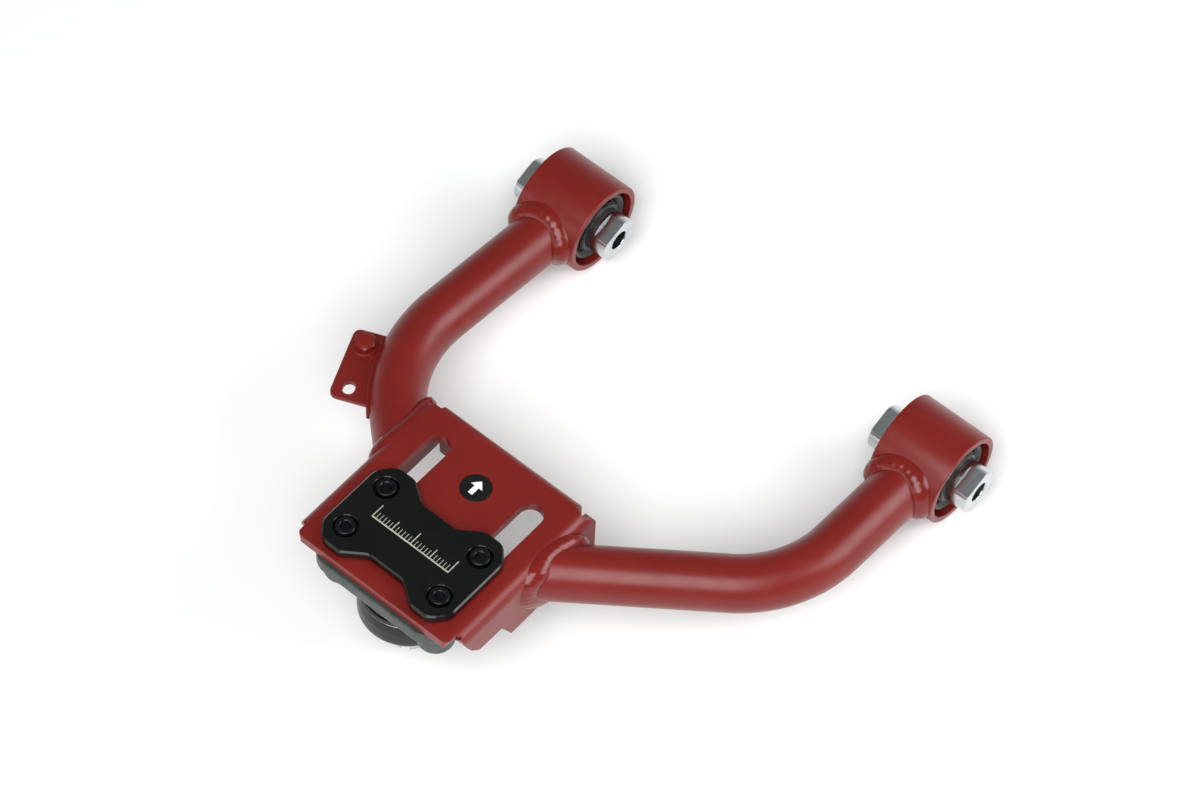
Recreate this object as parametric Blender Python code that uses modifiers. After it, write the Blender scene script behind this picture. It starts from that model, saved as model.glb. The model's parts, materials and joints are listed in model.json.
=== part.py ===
"""Adjustable tubular front upper control arm.

A welded arm (slotted plate, two bent legs, two bushing housings, hose bracket)
carries a pillow-ball bushing at the end of each leg.  A ball joint is clamped
to the slotted plate by a top plate and four screws, and slides along the slots.

The arm is drawn in its own frame, in millimetres: X runs along the pivot axis
from the rear bushing to the front one, Y points inboard, and Z is the arm's
upper side.  The origin is the centre of the rear bushing.  A parent empty then
lays the arm on the floor, resting on both housings and on the stud's tip.
"""

import math

import bmesh
import bpy
from mathutils import Matrix, Vector

MM = 0.001
GAP = 0.3

# Pivot axis and bushing housings
PIVOT_SPACING = 229.0
HOUSING_R = 25.0
HOUSING_WALL = 3.5
HOUSING_LENGTH = 39.0
HOUSING_BORE_R = HOUSING_R - HOUSING_WALL

# Bent legs, both 28.6 mm tube
TUBE_R = 14.3
TUBE_WALL = 3.0
LEG_START = 12.0
LEG_OVERRUN = 120.0
REAR_LEG = {"x": 0.0, "side": 1, "splay": -4.0, "straight": 93.0, "bend_r": 75.0, "turn": 51.5}
FRONT_LEG = {"x": PIVOT_SPACING, "side": -1, "splay": 2.0, "straight": 71.0, "bend_r": 65.0, "turn": 51.0}
BEND_STEPS = 10
TUBE_SIDES_RESOLUTION = 6

# Slotted plate, folded from 6 mm sheet
PLATE_X = 80.2
PLATE_HALF = 52.2
PLATE_TOP = 16.0
SHEET = 6.0
PLATE_FRONT_Y = -243.3
PLATE_REAR_Y = -139.2
FLANGE_FRONT_Y = -235.5
TONGUE_HALF = 48.0
TONGUE_CORNER_R = 8.0
BEND_OUTER_R = 7.0
BEND_INNER_R = 1.5
SIDE_FLANGE_DEPTH = 37.0
REAR_FLANGE_DEPTH = 20.0
DEEP_REAR_FLANGE_X = 66.0
SIDE_FLANGE_STEPS = [(-201.0, -21.0), (-208.0, -7.8), (-224.5, -7.4), (-230.2, -1.0), (-233.4, 5.3)]
SLOT_WIDTH = 13.0
SLOT_SLACK = 1.4
RELIEF_R = 3.6

# Ball joint, its clamp and its four screws
SCREW_SPACING_X = 59.6
SCREW_SPACING_Y = 29.1
CLAMP_Y = -213.4
JOINT_Y = -216.0
CARRIAGE_TRAVEL = 35.5
CLAMP_THICKNESS = 5.5
CLAMP_HALF_X = 40.9
CLAMP_HALF_Y = 27.4
CLAMP_WAIST = 19.2
SCREW_SHANK_R = 3.0
SCREW_HEAD_R = 5.0
COUNTERBORE_R = 6.1
BALL_R = 13.0
BALL_Z = -9.0
CUP_R = 20.5
CUP_BOTTOM_Z = -16.0
JOINT_FLANGE_THICKNESS = 7.8
JOINT_FLANGE_HALF = (40.0, 29.4)
JOINT_FLANGE_CORNER_R = 12.0
BOSS_R = 10.0
BOSS_BOTTOM_Z = -12.8
STUD_TIP_Z = -61.0
STUD_THREAD_R = 7.0
BOOT_R = 25.6
BOOT_WIDEST_Z = -28.2
LOW_BAND_Z = -34.6

# Pillow-ball bushing
BUSHING_BALL_R = 15.0
RACE_HALF = 7.0
SPACER_END = 30.0
SPACER_R = 12.0
SPACER_SHANK_R = 8.0
BOLT_BORE_R = 5.3
SPACER_FLAT = 9.6
SPACER_FLAT_LENGTH = 8.5
SPACER_FLAT_TURN = 20.0

# Hose bracket on the rear leg
BRACKET_CORNER = (-33.0, -128.3)
BRACKET_TURN = 23.0
BRACKET_LENGTH = 42.1
BRACKET_SHEET = 2.8

WELD_R = 3.3
WELD_STEPS = 24
LABEL_R = 7.8

RED = (0.235, 0.020, 0.016)
BLACK = (0.008, 0.009, 0.008)
STEEL = (0.60, 0.62, 0.64)
RUBBER = (0.020, 0.021, 0.020)
IRON = (0.055, 0.065, 0.058)
ZINC = (0.52, 0.52, 0.47)
NYLON = (0.75, 0.74, 0.70)


# ---------------------------------------------------------------- scene set-up

def clear_scene():
    for item in list(bpy.data.objects):
        bpy.data.objects.remove(item, do_unlink=True)


def new_collection(name):
    collection = bpy.data.collections.new(name)
    bpy.context.scene.collection.children.link(collection)
    return collection


def resting_tilt():
    """Angle that lays both housings and the stud's tip on one flat floor."""
    reach = -JOINT_Y - STUD_THREAD_R + 1.5
    drop = -STUD_TIP_Z
    span = math.hypot(reach, drop)
    return math.atan2(drop, reach) - math.asin(HOUSING_R / span)


def make_arm_frame():
    """The empty that carries the arm's own frame at rest on the floor."""
    tilt = resting_tilt()
    outer_y = (JOINT_Y - BOOT_R) * math.cos(tilt) + BOOT_WIDEST_Z * math.sin(tilt)
    middle_y = (HOUSING_R + outer_y) / 2
    empty = bpy.data.objects.new("arm_frame", None)
    empty.location = (-PIVOT_SPACING / 2 * MM, -middle_y * MM, HOUSING_R * MM)
    empty.rotation_euler = (-tilt, 0, 0)
    bpy.context.scene.collection.objects.link(empty)
    return empty


clear_scene()
PARTS = new_collection("control_arm")
CUTTERS = new_collection("cutters")
ARM_FRAME = make_arm_frame()
MATERIALS = {}


def material(name, colour, roughness, metallic):
    if name not in MATERIALS:
        made = bpy.data.materials.new(name)
        made.use_nodes = True
        shader = made.node_tree.nodes["Principled BSDF"]
        shader.inputs["Base Color"].default_value = (*colour, 1.0)
        shader.inputs["Roughness"].default_value = roughness
        shader.inputs["Metallic"].default_value = metallic
        MATERIALS[name] = made
    return MATERIALS[name]


def red_paint():
    return material("red_powder_coat", RED, 0.35, 0.0)


def black_anodised():
    return material("black_anodised", BLACK, 0.25, 0.6)


def bright_steel():
    return material("bright_steel", STEEL, 0.25, 1.0)


def black_rubber():
    return material("black_rubber", RUBBER, 0.6, 0.0)


def coated_iron():
    return material("coated_iron", IRON, 0.45, 0.7)


def zinc():
    return material("zinc_plate", ZINC, 0.35, 1.0)


def nylon():
    return material("bearing_nylon", NYLON, 0.5, 0.0)


# ------------------------------------------------------------- object building

def place(obj, look=None):
    """Put a finished piece in the arm's frame, or a cutter when it has no look."""
    obj.parent = ARM_FRAME
    if look is None:
        CUTTERS.objects.link(obj)
        obj.hide_render = True
        obj.display_type = "WIRE"
    else:
        PARTS.objects.link(obj)
        obj.data.materials.clear()
        obj.data.materials.append(look)
        obj.data.shade_smooth()
        obj.data.set_sharp_from_angle(angle=math.radians(32))
    return obj


def mesh_object(name, bm, look=None):
    """Turn a bmesh drawn in millimetres into a placed object in metres."""
    bmesh.ops.scale(bm, vec=(MM, MM, MM), verts=bm.verts)
    bmesh.ops.recalc_face_normals(bm, faces=bm.faces)
    mesh = bpy.data.meshes.new(name)
    bm.to_mesh(mesh)
    bm.free()
    return place(bpy.data.objects.new(name, mesh), look)


def box(name, low, high, look=None):
    bm = bmesh.new()
    bmesh.ops.create_cube(bm, size=1.0)
    size = Vector(high) - Vector(low)
    middle = (Vector(high) + Vector(low)) / 2
    bmesh.ops.scale(bm, vec=size, verts=bm.verts)
    bmesh.ops.translate(bm, vec=middle, verts=bm.verts)
    return mesh_object(name, bm, look)


def prism(name, outline, low, high, look=None, axis="Z"):
    """Extrude a closed outline from low to high along Z, or along X from (y, z) points."""
    bm = bmesh.new()
    ring = [bm.verts.new((a, b, low)) for a, b in outline]
    face = bm.faces.new(ring)
    pushed = bmesh.ops.extrude_face_region(bm, geom=[face])
    moved = [item for item in pushed["geom"] if isinstance(item, bmesh.types.BMVert)]
    bmesh.ops.translate(bm, vec=(0, 0, high - low), verts=moved)
    if axis == "X":
        for vert in bm.verts:
            vert.co = Vector((vert.co.z, vert.co.x, vert.co.y))
    return mesh_object(name, bm, look)


def cylinder(name, centre, radius, depth, axis="Z", sides=24, look=None):
    bm = bmesh.new()
    turn = Matrix.Rotation(math.pi / 2, 4, "Y") if axis == "X" else Matrix.Identity(4)
    bmesh.ops.create_cone(
        bm, cap_ends=True, segments=sides, radius1=radius, radius2=radius, depth=depth,
        matrix=Matrix.Translation(Vector(centre)) @ turn)
    return mesh_object(name, bm, look)


def turned(name, profile, centre, look, axis="Z", sides=24):
    """Turn a closed profile of (radius, height) points, listed down its outer side first."""
    mesh = bpy.data.meshes.new(name)
    bm = bmesh.new()
    verts = [bm.verts.new((radius * MM, 0, height * MM)) for radius, height in profile]
    closed = profile[0][0] > 0
    last = len(verts) if closed else len(verts) - 1
    for index in range(last):
        bm.edges.new((verts[index], verts[(index + 1) % len(verts)]))
    bm.to_mesh(mesh)
    bm.free()
    obj = bpy.data.objects.new(name, mesh)
    obj.location = Vector(centre) * MM
    if axis == "X":
        obj.rotation_euler = (0, math.pi / 2, 0)
    screw = obj.modifiers.new("turn", "SCREW")
    screw.axis = "Z"
    screw.steps = sides
    screw.render_steps = sides
    screw.use_merge_vertices = True
    screw.merge_threshold = 0.00001
    return place(obj, look)


def bevel(obj, width, segments=2, angle=40.0):
    edge = obj.modifiers.new("edges", "BEVEL")
    edge.width = width * MM
    edge.segments = segments
    edge.limit_method = "ANGLE"
    edge.angle_limit = math.radians(angle)
    return obj


def cut(obj, *cutters):
    for cutter in cutters:
        step = obj.modifiers.new("cut_" + cutter.name, "BOOLEAN")
        step.operation = "DIFFERENCE"
        step.object = cutter
    return obj


def join(obj, *pieces):
    for piece in pieces:
        step = obj.modifiers.new("join_" + piece.name, "BOOLEAN")
        step.operation = "UNION"
        step.object = piece
    return obj


def arc(centre_x, centre_y, radius, start, end, steps):
    """Points on an arc, with angles in degrees."""
    points = []
    for index in range(steps + 1):
        angle = math.radians(start + (end - start) * index / steps)
        points.append((centre_x + radius * math.cos(angle), centre_y + radius * math.sin(angle)))
    return points


def stadium(centre_x, low_y, high_y, width):
    """A slot outline with round ends, running along Y."""
    radius = width / 2
    outline = arc(centre_x, high_y - radius, radius, 0, 180, 10)
    outline += arc(centre_x, low_y + radius, radius, 180, 360, 10)
    return outline


def tube_mesh(name, points, radius, resolution, cyclic=False):
    """A swept round bar along the given points, as a welded mesh object in the arm frame."""
    curve = bpy.data.curves.new(name + "_path", "CURVE")
    curve.dimensions = "3D"
    curve.bevel_depth = radius * MM
    curve.bevel_resolution = resolution
    curve.use_fill_caps = not cyclic
    spline = curve.splines.new("POLY")
    spline.points.add(len(points) - 1)
    for knot, point in zip(spline.points, points):
        knot.co = (*[value * MM for value in point], 1.0)
    spline.use_cyclic_u = cyclic
    carrier = bpy.data.objects.new(name + "_path", curve)
    bpy.context.scene.collection.objects.link(carrier)
    bpy.context.view_layer.update()
    evaluated = carrier.evaluated_get(bpy.context.evaluated_depsgraph_get())
    mesh = bpy.data.meshes.new_from_object(evaluated)
    mesh.name = name
    bm = bmesh.new()
    bm.from_mesh(mesh)
    bmesh.ops.remove_doubles(bm, verts=bm.verts, dist=0.000005)
    bmesh.ops.recalc_face_normals(bm, faces=bm.faces)
    bm.to_mesh(mesh)
    bm.free()
    bpy.data.objects.remove(carrier, do_unlink=True)
    return bpy.data.objects.new(name, mesh)


# ------------------------------------------------------------------- leg route

def heading(leg, angle):
    """Unit vector pointing outboard, turned toward the other leg by angle degrees."""
    turn = math.radians(angle)
    return Vector((leg["side"] * math.sin(turn), -math.cos(turn), 0))


def inner_normal(leg, angle):
    turn = math.radians(angle)
    return Vector((leg["side"] * math.cos(turn), math.sin(turn), 0))


def leg_path(leg):
    """Centre line of a leg: a straight, one bend, and a straight on to the plate."""
    start = Vector((leg["x"], 0, 0))
    first = heading(leg, leg["splay"])
    points = [start + first * LEG_START]
    bend_start = start + first * leg["straight"]
    bend_centre = bend_start + inner_normal(leg, leg["splay"]) * leg["bend_r"]
    for index in range(BEND_STEPS + 1):
        angle = leg["splay"] + leg["turn"] * index / BEND_STEPS
        points.append(bend_centre - inner_normal(leg, angle) * leg["bend_r"])
    final = leg["splay"] + leg["turn"]
    points.append(points[-1] + heading(leg, final) * LEG_OVERRUN)
    return points


def flange_outer_x(leg):
    return PLATE_X - leg["side"] * PLATE_HALF


# --------------------------------------------------------------- welded pieces

def make_slotted_plate():
    left = PLATE_X - PLATE_HALF
    right = PLATE_X + PLATE_HALF
    bottom = PLATE_TOP - SIDE_FLANGE_DEPTH
    far = 30.0
    plate = box("slotted_plate", (left, PLATE_FRONT_Y - far, bottom), (right, PLATE_REAR_Y, PLATE_TOP), red_paint())
    fold = plate.modifiers.new("folds", "BEVEL")
    fold.width = BEND_OUTER_R * MM
    fold.segments = 5
    fold.limit_method = "WEIGHT"
    mark_folds(plate.data)
    hollow = box(
        "plate_hollow", (left + SHEET, PLATE_FRONT_Y - 2 * far, bottom - far),
        (right - SHEET, PLATE_REAR_Y - SHEET, PLATE_TOP - SHEET))
    bevel(hollow, BEND_INNER_R, 2)
    front_trim = prism("plate_front_trim", front_trim_outline(), bottom - far, PLATE_TOP + far)
    steps = [(SIDE_FLANGE_STEPS[0][0], bottom - far)] + SIDE_FLANGE_STEPS
    steps += [(FLANGE_FRONT_Y, 8.0), (-400.0, 8.0), (-400.0, bottom - far)]
    flange_step = prism("flange_step", steps, left - far, right + far, axis="X")
    rear_trim = box(
        "rear_flange_trim", (DEEP_REAR_FLANGE_X, PLATE_REAR_Y - SHEET - 1, bottom - far),
        (right - SHEET, PLATE_REAR_Y + far, PLATE_TOP - REAR_FLANGE_DEPTH))
    cutters = [hollow, front_trim, flange_step, rear_trim]
    for side in (-1, 1):
        centre = (PLATE_X + side * (PLATE_HALF - RELIEF_R), PLATE_REAR_Y - 0.2, PLATE_TOP)
        cutters.append(cylinder("bend_relief_%d" % (side + 1), centre, RELIEF_R, 28.0, sides=16))
        slot_x = PLATE_X + side * SCREW_SPACING_X / 2
        slot_low = CLAMP_Y - SCREW_SPACING_Y / 2 - SLOT_WIDTH / 2 - SLOT_SLACK
        slot_high = CLAMP_Y + SCREW_SPACING_Y / 2 + CARRIAGE_TRAVEL + SLOT_WIDTH / 2 + SLOT_SLACK
        outline = stadium(slot_x, slot_low, slot_high, SLOT_WIDTH)
        cutters.append(prism("slot_%d" % (side + 1), outline, 0.0, PLATE_TOP + far))
    cutters.append(cylinder("label_recess", (PLATE_X, -167.6, PLATE_TOP + 1.0), LABEL_R + GAP, 4.0))
    return cut(plate, *cutters)


def mark_folds(mesh):
    """Give the three folded top edges and the two rear corners a bevel weight."""
    weights = mesh.attributes.new("bevel_weight_edge", "FLOAT", "EDGE")
    top = PLATE_TOP * MM
    rear = PLATE_REAR_Y * MM
    for edge in mesh.edges:
        ends = [mesh.vertices[index].co for index in edge.vertices]
        on_top = all(abs(end.z - top) < 1e-6 for end in ends)
        on_rear = all(abs(end.y - rear) < 1e-6 for end in ends)
        along_y = abs(ends[0].y - ends[1].y) > 0.01
        if (on_top and along_y) or (on_top and on_rear):
            weights.data[edge.index].value = 1.0


def front_trim_outline():
    """Everything outside the plate's front tongue, with its two round corners."""
    radius = TONGUE_CORNER_R
    outline = [(PLATE_X - 90, FLANGE_FRONT_Y), (PLATE_X - TONGUE_HALF, FLANGE_FRONT_Y)]
    outline += arc(PLATE_X - TONGUE_HALF + radius, PLATE_FRONT_Y + radius, radius, 190, 270, 6)
    outline += arc(PLATE_X + TONGUE_HALF - radius, PLATE_FRONT_Y + radius, radius, 270, 350, 6)
    outline += [(PLATE_X + TONGUE_HALF, FLANGE_FRONT_Y)]
    outline += [(PLATE_X + 90, FLANGE_FRONT_Y), (PLATE_X + 90, -400), (PLATE_X - 90, -400)]
    return outline


def make_housing(end, centre_x):
    half = HOUSING_LENGTH / 2
    edge = 0.8
    profile = [
        (HOUSING_R - edge, half), (HOUSING_R, half - edge), (HOUSING_R, -half + edge),
        (HOUSING_R - edge, -half), (HOUSING_BORE_R + edge / 2, -half), (HOUSING_BORE_R, -half + edge / 2),
        (HOUSING_BORE_R, half - edge / 2), (HOUSING_BORE_R + edge / 2, half)]
    return turned(end + "_bushing_housing", profile, (centre_x, 0, 0), red_paint(), axis="X", sides=40)


def make_leg(end, leg):
    """A hollow leg, coped to its housing and cut off against the plate's side flange."""
    obj = tube_mesh(end + "_leg_tube", leg_path(leg), TUBE_R, TUBE_SIDES_RESOLUTION)
    place(obj, red_paint())
    bore = tube_mesh(end + "_leg_bore", leg_path(leg), TUBE_R - TUBE_WALL, TUBE_SIDES_RESOLUTION)
    place(bore)
    cope = cylinder(end + "_cope", (leg["x"], 0, 0), HOUSING_R + GAP, 90.0, axis="X", sides=64)
    face = flange_outer_x(leg)
    near = face - leg["side"] * GAP
    beyond = face + leg["side"] * 150.0
    end_cut = box(
        end + "_end_cut", (min(near, beyond), -330, -40), (max(near, beyond), -60, 40))
    return cut(obj, bore, cope, end_cut)


def surface_direction(axis_direction, angle):
    """Unit vector square to a level axis, turned by angle from the level side direction."""
    side = Vector((-axis_direction.y, axis_direction.x, 0))
    return side * math.cos(angle) + Vector((0, 0, 1)) * math.sin(angle)


def make_housing_weld(end, leg):
    """A bead along the saddle where the leg meets its housing."""
    along = heading(leg, leg["splay"])
    points = []
    for index in range(WELD_STEPS):
        angle = 2 * math.pi * index / WELD_STEPS
        out = surface_direction(along, angle) * (TUBE_R + 0.6)
        reach = math.sqrt((HOUSING_R + 0.6) ** 2 - out.z ** 2)
        distance = (-reach - out.y) / along.y
        points.append(Vector((leg["x"], 0, 0)) + out + along * distance)
    bead = tube_mesh(end + "_housing_weld", points, WELD_R, 2, cyclic=True)
    place(bead, red_paint())
    keep_off = cylinder(end + "_weld_cope", (leg["x"], 0, 0), HOUSING_R + GAP, 90.0, axis="X", sides=48)
    start = Vector((leg["x"], 0, 0))
    inner = tube_mesh(end + "_weld_bore", [start, start + along * 60], TUBE_R + GAP, TUBE_SIDES_RESOLUTION)
    place(inner)
    return cut(bead, keep_off, inner)


def make_plate_weld(end, leg):
    """A bead along the oval where the leg runs into the plate's side flange."""
    along = heading(leg, leg["splay"] + leg["turn"])
    bend_end = leg_path(leg)[-2]
    face = flange_outer_x(leg)
    points = []
    for index in range(WELD_STEPS):
        angle = 2 * math.pi * index / WELD_STEPS
        out = surface_direction(along, angle) * (TUBE_R + 0.6)
        distance = (face - leg["side"] * 0.6 - bend_end.x - out.x) / along.x
        points.append(bend_end + out + along * distance)
    bead = tube_mesh(end + "_plate_weld", points, WELD_R, 2, cyclic=True)
    place(bead, red_paint())
    inner = tube_mesh(end + "_plate_weld_bore", leg_path(leg), TUBE_R + GAP, TUBE_SIDES_RESOLUTION)
    place(inner)
    near = face - leg["side"] * GAP
    beyond = face + leg["side"] * 60.0
    wall = box(end + "_weld_wall", (min(near, beyond), -260, -40), (max(near, beyond), -60, 40))
    return cut(bead, inner, wall)


def bracket_point(along, across):
    turn = math.radians(BRACKET_TURN)
    x = BRACKET_CORNER[0] + along * math.sin(turn) + across * math.cos(turn)
    y = BRACKET_CORNER[1] - along * math.cos(turn) + across * math.sin(turn)
    return x, y


def bracket_outline(width):
    """A strip with two round outer corners, drawn in the bracket's own directions."""
    radius = 4.5
    corners = arc(radius, radius, radius, 180, 270, 6)
    outline = [bracket_point(along, across) for along, across in corners]
    outline.append(bracket_point(BRACKET_LENGTH - radius, 0))
    far_corner = arc(BRACKET_LENGTH - radius, radius, radius, 270, 360, 6)
    outline += [bracket_point(along, across) for along, across in far_corner[1:]]
    outline += [bracket_point(BRACKET_LENGTH, width), bracket_point(0, width)]
    return outline


def make_bracket():
    half = BRACKET_SHEET / 2
    plate = prism("hose_bracket", bracket_outline(34.0), -half, half, red_paint())
    tube = tube_mesh("bracket_tube_cut", leg_path(REAR_LEG), TUBE_R + GAP, TUBE_SIDES_RESOLUTION)
    place(tube)
    hole = []
    for along, across in stadium(8.6, 31.3, 39.1, 6.2):
        hole.append(bracket_point(across, along))
    slot = prism("bracket_slot_cut", hole, -10, 10)
    return cut(plate, tube, slot)


def make_bracket_nut():
    """A hexagonal clinch nut on the bracket, painted over with the arm."""
    centre_x, centre_y = bracket_point(8.8, 7.8)
    low = BRACKET_SHEET / 2 + GAP
    bm = bmesh.new()
    spot = Matrix.Translation((centre_x, centre_y, low + 2.5)) @ Matrix.Rotation(math.radians(12), 4, "Z")
    bmesh.ops.create_cone(bm, cap_ends=True, segments=6, radius1=6.0, radius2=6.0, depth=5.0, matrix=spot)
    return bevel(mesh_object("bracket_nut", bm, red_paint()), 0.7, 2, angle=50)


def make_label():
    return cylinder("side_label", (PLATE_X, -167.6, PLATE_TOP - 0.35), LABEL_R, 0.7, look=black_anodised())


# ------------------------------------------------------------ pillow bushings

def sphere_arc(radius, low, high, steps):
    """(radius, height) points on a sphere from low to high height."""
    points = []
    for index in range(steps + 1):
        height = low + (high - low) * index / steps
        points.append((math.sqrt(radius * radius - height * height), height))
    return points


def make_bushing(end, centre_x):
    centre = (centre_x, 0, 0)
    outer = HOUSING_BORE_R - GAP
    race = [(outer, RACE_HALF), (outer, -RACE_HALF)]
    race += sphere_arc(BUSHING_BALL_R + GAP, -RACE_HALF, RACE_HALF, 4)
    turned(end + "_bushing_race", race, centre, bright_steel(), axis="X")
    ball_half = 9.0
    ball_bore = SPACER_SHANK_R + GAP
    ball = sphere_arc(BUSHING_BALL_R, ball_half, -ball_half, 6)
    ball += [(ball_bore, -ball_half), (ball_bore, ball_half)]
    turned(end + "_bushing_ball", ball, centre, bright_steel(), axis="X")
    for side, facing in (("aft", -1), ("fore", 1)):
        make_spacer(end + "_spacer_" + side, centre_x, facing)
        make_snap_ring(end + "_snap_ring_" + side, centre_x, facing)
        make_dust_boot(end + "_dust_boot_" + side, centre_x, facing)
        make_boot_band(end + "_boot_band_" + side, centre_x, facing)


def mirrored(profile, facing):
    """Keep a profile as drawn, or flip it end for end with its order kept outward."""
    if facing > 0:
        return profile
    return [(radius, -height) for radius, height in reversed(profile)]


def make_spacer(name, centre_x, facing):
    """Half of the bolt sleeve: a shank in the ball and a shoulder with two flats."""
    shoulder = 9.0 + GAP
    profile = [
        (SPACER_R - 0.8, SPACER_END), (SPACER_R, SPACER_END - 0.8), (SPACER_R, shoulder),
        (SPACER_SHANK_R, shoulder), (SPACER_SHANK_R, GAP / 2), (BOLT_BORE_R, GAP / 2),
        (BOLT_BORE_R, SPACER_END - 0.5), (BOLT_BORE_R + 0.5, SPACER_END)]
    spacer = turned(name, mirrored(profile, facing), (centre_x, 0, 0), bright_steel(), axis="X")
    ends = sorted((facing * (SPACER_END - SPACER_FLAT_LENGTH), facing * (SPACER_END + 5)))
    for level in (-1, 1):
        heights = sorted((level * SPACER_FLAT, level * 20.0))
        flat = box(
            "%s_flat_%d" % (name, level + 1), (centre_x + ends[0], -20, heights[0]),
            (centre_x + ends[1], 20, heights[1]))
        flat.rotation_euler = (math.radians(SPACER_FLAT_TURN), 0, 0)
        cut(spacer, flat)
    return spacer


def make_snap_ring(name, centre_x, facing):
    inner = RACE_HALF + GAP
    profile = [(21.2, inner + 1.6), (21.2, inner), (17.6, inner), (17.6, inner + 1.6)]
    ring = turned(name, mirrored(profile, facing), (centre_x, 0, 0), coated_iron(), axis="X")
    reach = sorted((facing * 5.0, facing * 12.0))
    mouth = box(name + "_mouth", (centre_x + reach[0], -4.0, 14.0), (centre_x + reach[1], 4.0, 24.0))
    return cut(ring, mouth)


def make_dust_boot(name, centre_x, facing):
    inner = RACE_HALF + 2.2
    profile = [
        (20.9, inner + 2.0), (20.9, inner), (14.6, inner), (14.6, inner + 5.0), (16.5, inner + 5.0)]
    return turned(name, mirrored(profile, facing), (centre_x, 0, 0), black_rubber(), axis="X")


def make_boot_band(name, centre_x, facing):
    """The round-wire garter that holds a dust boot's lip on its spacer."""
    wire = 0.7
    radius = SPACER_R + 0.35 + wire
    spot = facing * 17.2
    profile = arc(radius, spot, wire, 90, -270, 6)[:-1]
    return turned(name, profile, (centre_x, 0, 0), bright_steel(), axis="X")


# ------------------------------------------------------------------ ball joint

def rounded_corner(x, y, radius, start):
    """A quarter turn whose centre is inset from the given corner."""
    middle = math.radians(start + 45)
    centre_x = x - radius * math.copysign(1, math.cos(middle))
    centre_y = y - radius * math.copysign(1, math.sin(middle))
    return arc(centre_x, centre_y, radius, start, start + 90, 5)


def dog_bone(half_x, half_y, waist):
    """Outline with four lobes and a waist on both long sides, around the joint's centre."""
    quarter = [(half_x, half_y - 8.5), (half_x - 2.6, half_y - 3.2), (half_x - 7.0, half_y)]
    quarter += [(25.0, half_y), (22.4, half_y - 0.5), (20.0, half_y - 1.6)]
    quarter += [(13.5, waist + 2.0), (10.8, waist + 0.5), (8.0, waist)]
    outline = list(quarter)
    outline += [(-x, y) for x, y in reversed(quarter)]
    outline += [(-x, -y) for x, y in quarter]
    outline += [(x, -y) for x, y in reversed(quarter)]
    return [(PLATE_X + x, CLAMP_Y + y) for x, y in outline]


def screw_spots():
    spots = []
    for side in (-1, 1):
        for row in (1, -1):
            spots.append((PLATE_X + side * SCREW_SPACING_X / 2, CLAMP_Y + row * SCREW_SPACING_Y / 2))
    return spots


def make_clamp_plate():
    low = PLATE_TOP + GAP
    high = low + CLAMP_THICKNESS
    plate = prism("clamp_plate", dog_bone(CLAMP_HALF_X, CLAMP_HALF_Y, CLAMP_WAIST), low, high, black_anodised())
    bevel(plate, 0.9, 1, angle=60)
    for index, (x, y) in enumerate(screw_spots()):
        cut(plate, cylinder("counterbore_%d" % index, (x, y, high), COUNTERBORE_R, 2 * (CLAMP_THICKNESS - 1.5)))
        cut(plate, cylinder("clamp_hole_%d" % index, (x, y, low), SCREW_SHANK_R + GAP, 20.0, sides=12))
    return plate


def make_clamp_screw(index, x, y):
    """A socket-head screw through the clamp plate and the slot into its boss."""
    seat = PLATE_TOP + GAP + 1.5 + GAP
    head_top = seat + 4.4
    shank_end = -10.0
    profile = [
        (0, head_top), (SCREW_HEAD_R - 0.6, head_top), (SCREW_HEAD_R, head_top - 0.6), (SCREW_HEAD_R, seat),
        (SCREW_SHANK_R, seat), (SCREW_SHANK_R, shank_end + 0.6), (SCREW_SHANK_R - 0.6, shank_end), (0, shank_end)]
    screw = turned("clamp_screw_%d" % index, profile, (x, y, 0), coated_iron(), sides=16)
    socket = cylinder("screw_socket_%d" % index, (x, y, head_top), 2.9, 6.0, sides=6)
    return cut(screw, socket)


def make_joint_housing():
    """Flange under the sheet, four screw bosses, slot guides and the ball's cup."""
    top = PLATE_TOP - SHEET - GAP
    bottom = top - JOINT_FLANGE_THICKNESS
    housing = prism("ball_joint_housing", flange_outline(), bottom, top, coated_iron())
    cup = cylinder("joint_cup", (PLATE_X, JOINT_Y, (CUP_BOTTOM_Z + bottom + 1) / 2), CUP_R, bottom + 1 - CUP_BOTTOM_Z)
    join(housing, cup)
    for index, (x, y) in enumerate(screw_spots()):
        boss_top = bottom + 1
        boss = cylinder(
            "joint_boss_%d" % index, (x, y + JOINT_Y - CLAMP_Y, (BOSS_BOTTOM_Z + boss_top) / 2), BOSS_R,
            boss_top - BOSS_BOTTOM_Z)
        guide_low = top - 1
        guide_top = PLATE_TOP - GAP
        guide = cylinder(
            "slot_guide_%d" % index, (x, y, (guide_low + guide_top) / 2), SLOT_WIDTH / 2 - GAP, guide_top - guide_low)
        join(housing, boss, guide)
    bore = turned_cutter("joint_bore")
    cut(housing, bore)
    for index, (x, y) in enumerate(screw_spots()):
        cut(housing, cylinder("boss_hole_%d" % index, (x, y, 0), SCREW_SHANK_R + GAP, 60.0, sides=12))
    return housing


def flange_outline():
    """Rounded rectangle of the ball joint's flange."""
    half_x, half_y = JOINT_FLANGE_HALF
    radius = JOINT_FLANGE_CORNER_R
    outline = []
    for start, side_x, side_y in ((0, 1, 1), (90, -1, 1), (180, -1, -1), (270, 1, -1)):
        outline += rounded_corner(PLATE_X + side_x * half_x, JOINT_Y + side_y * half_y, radius, start)
    return outline


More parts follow.
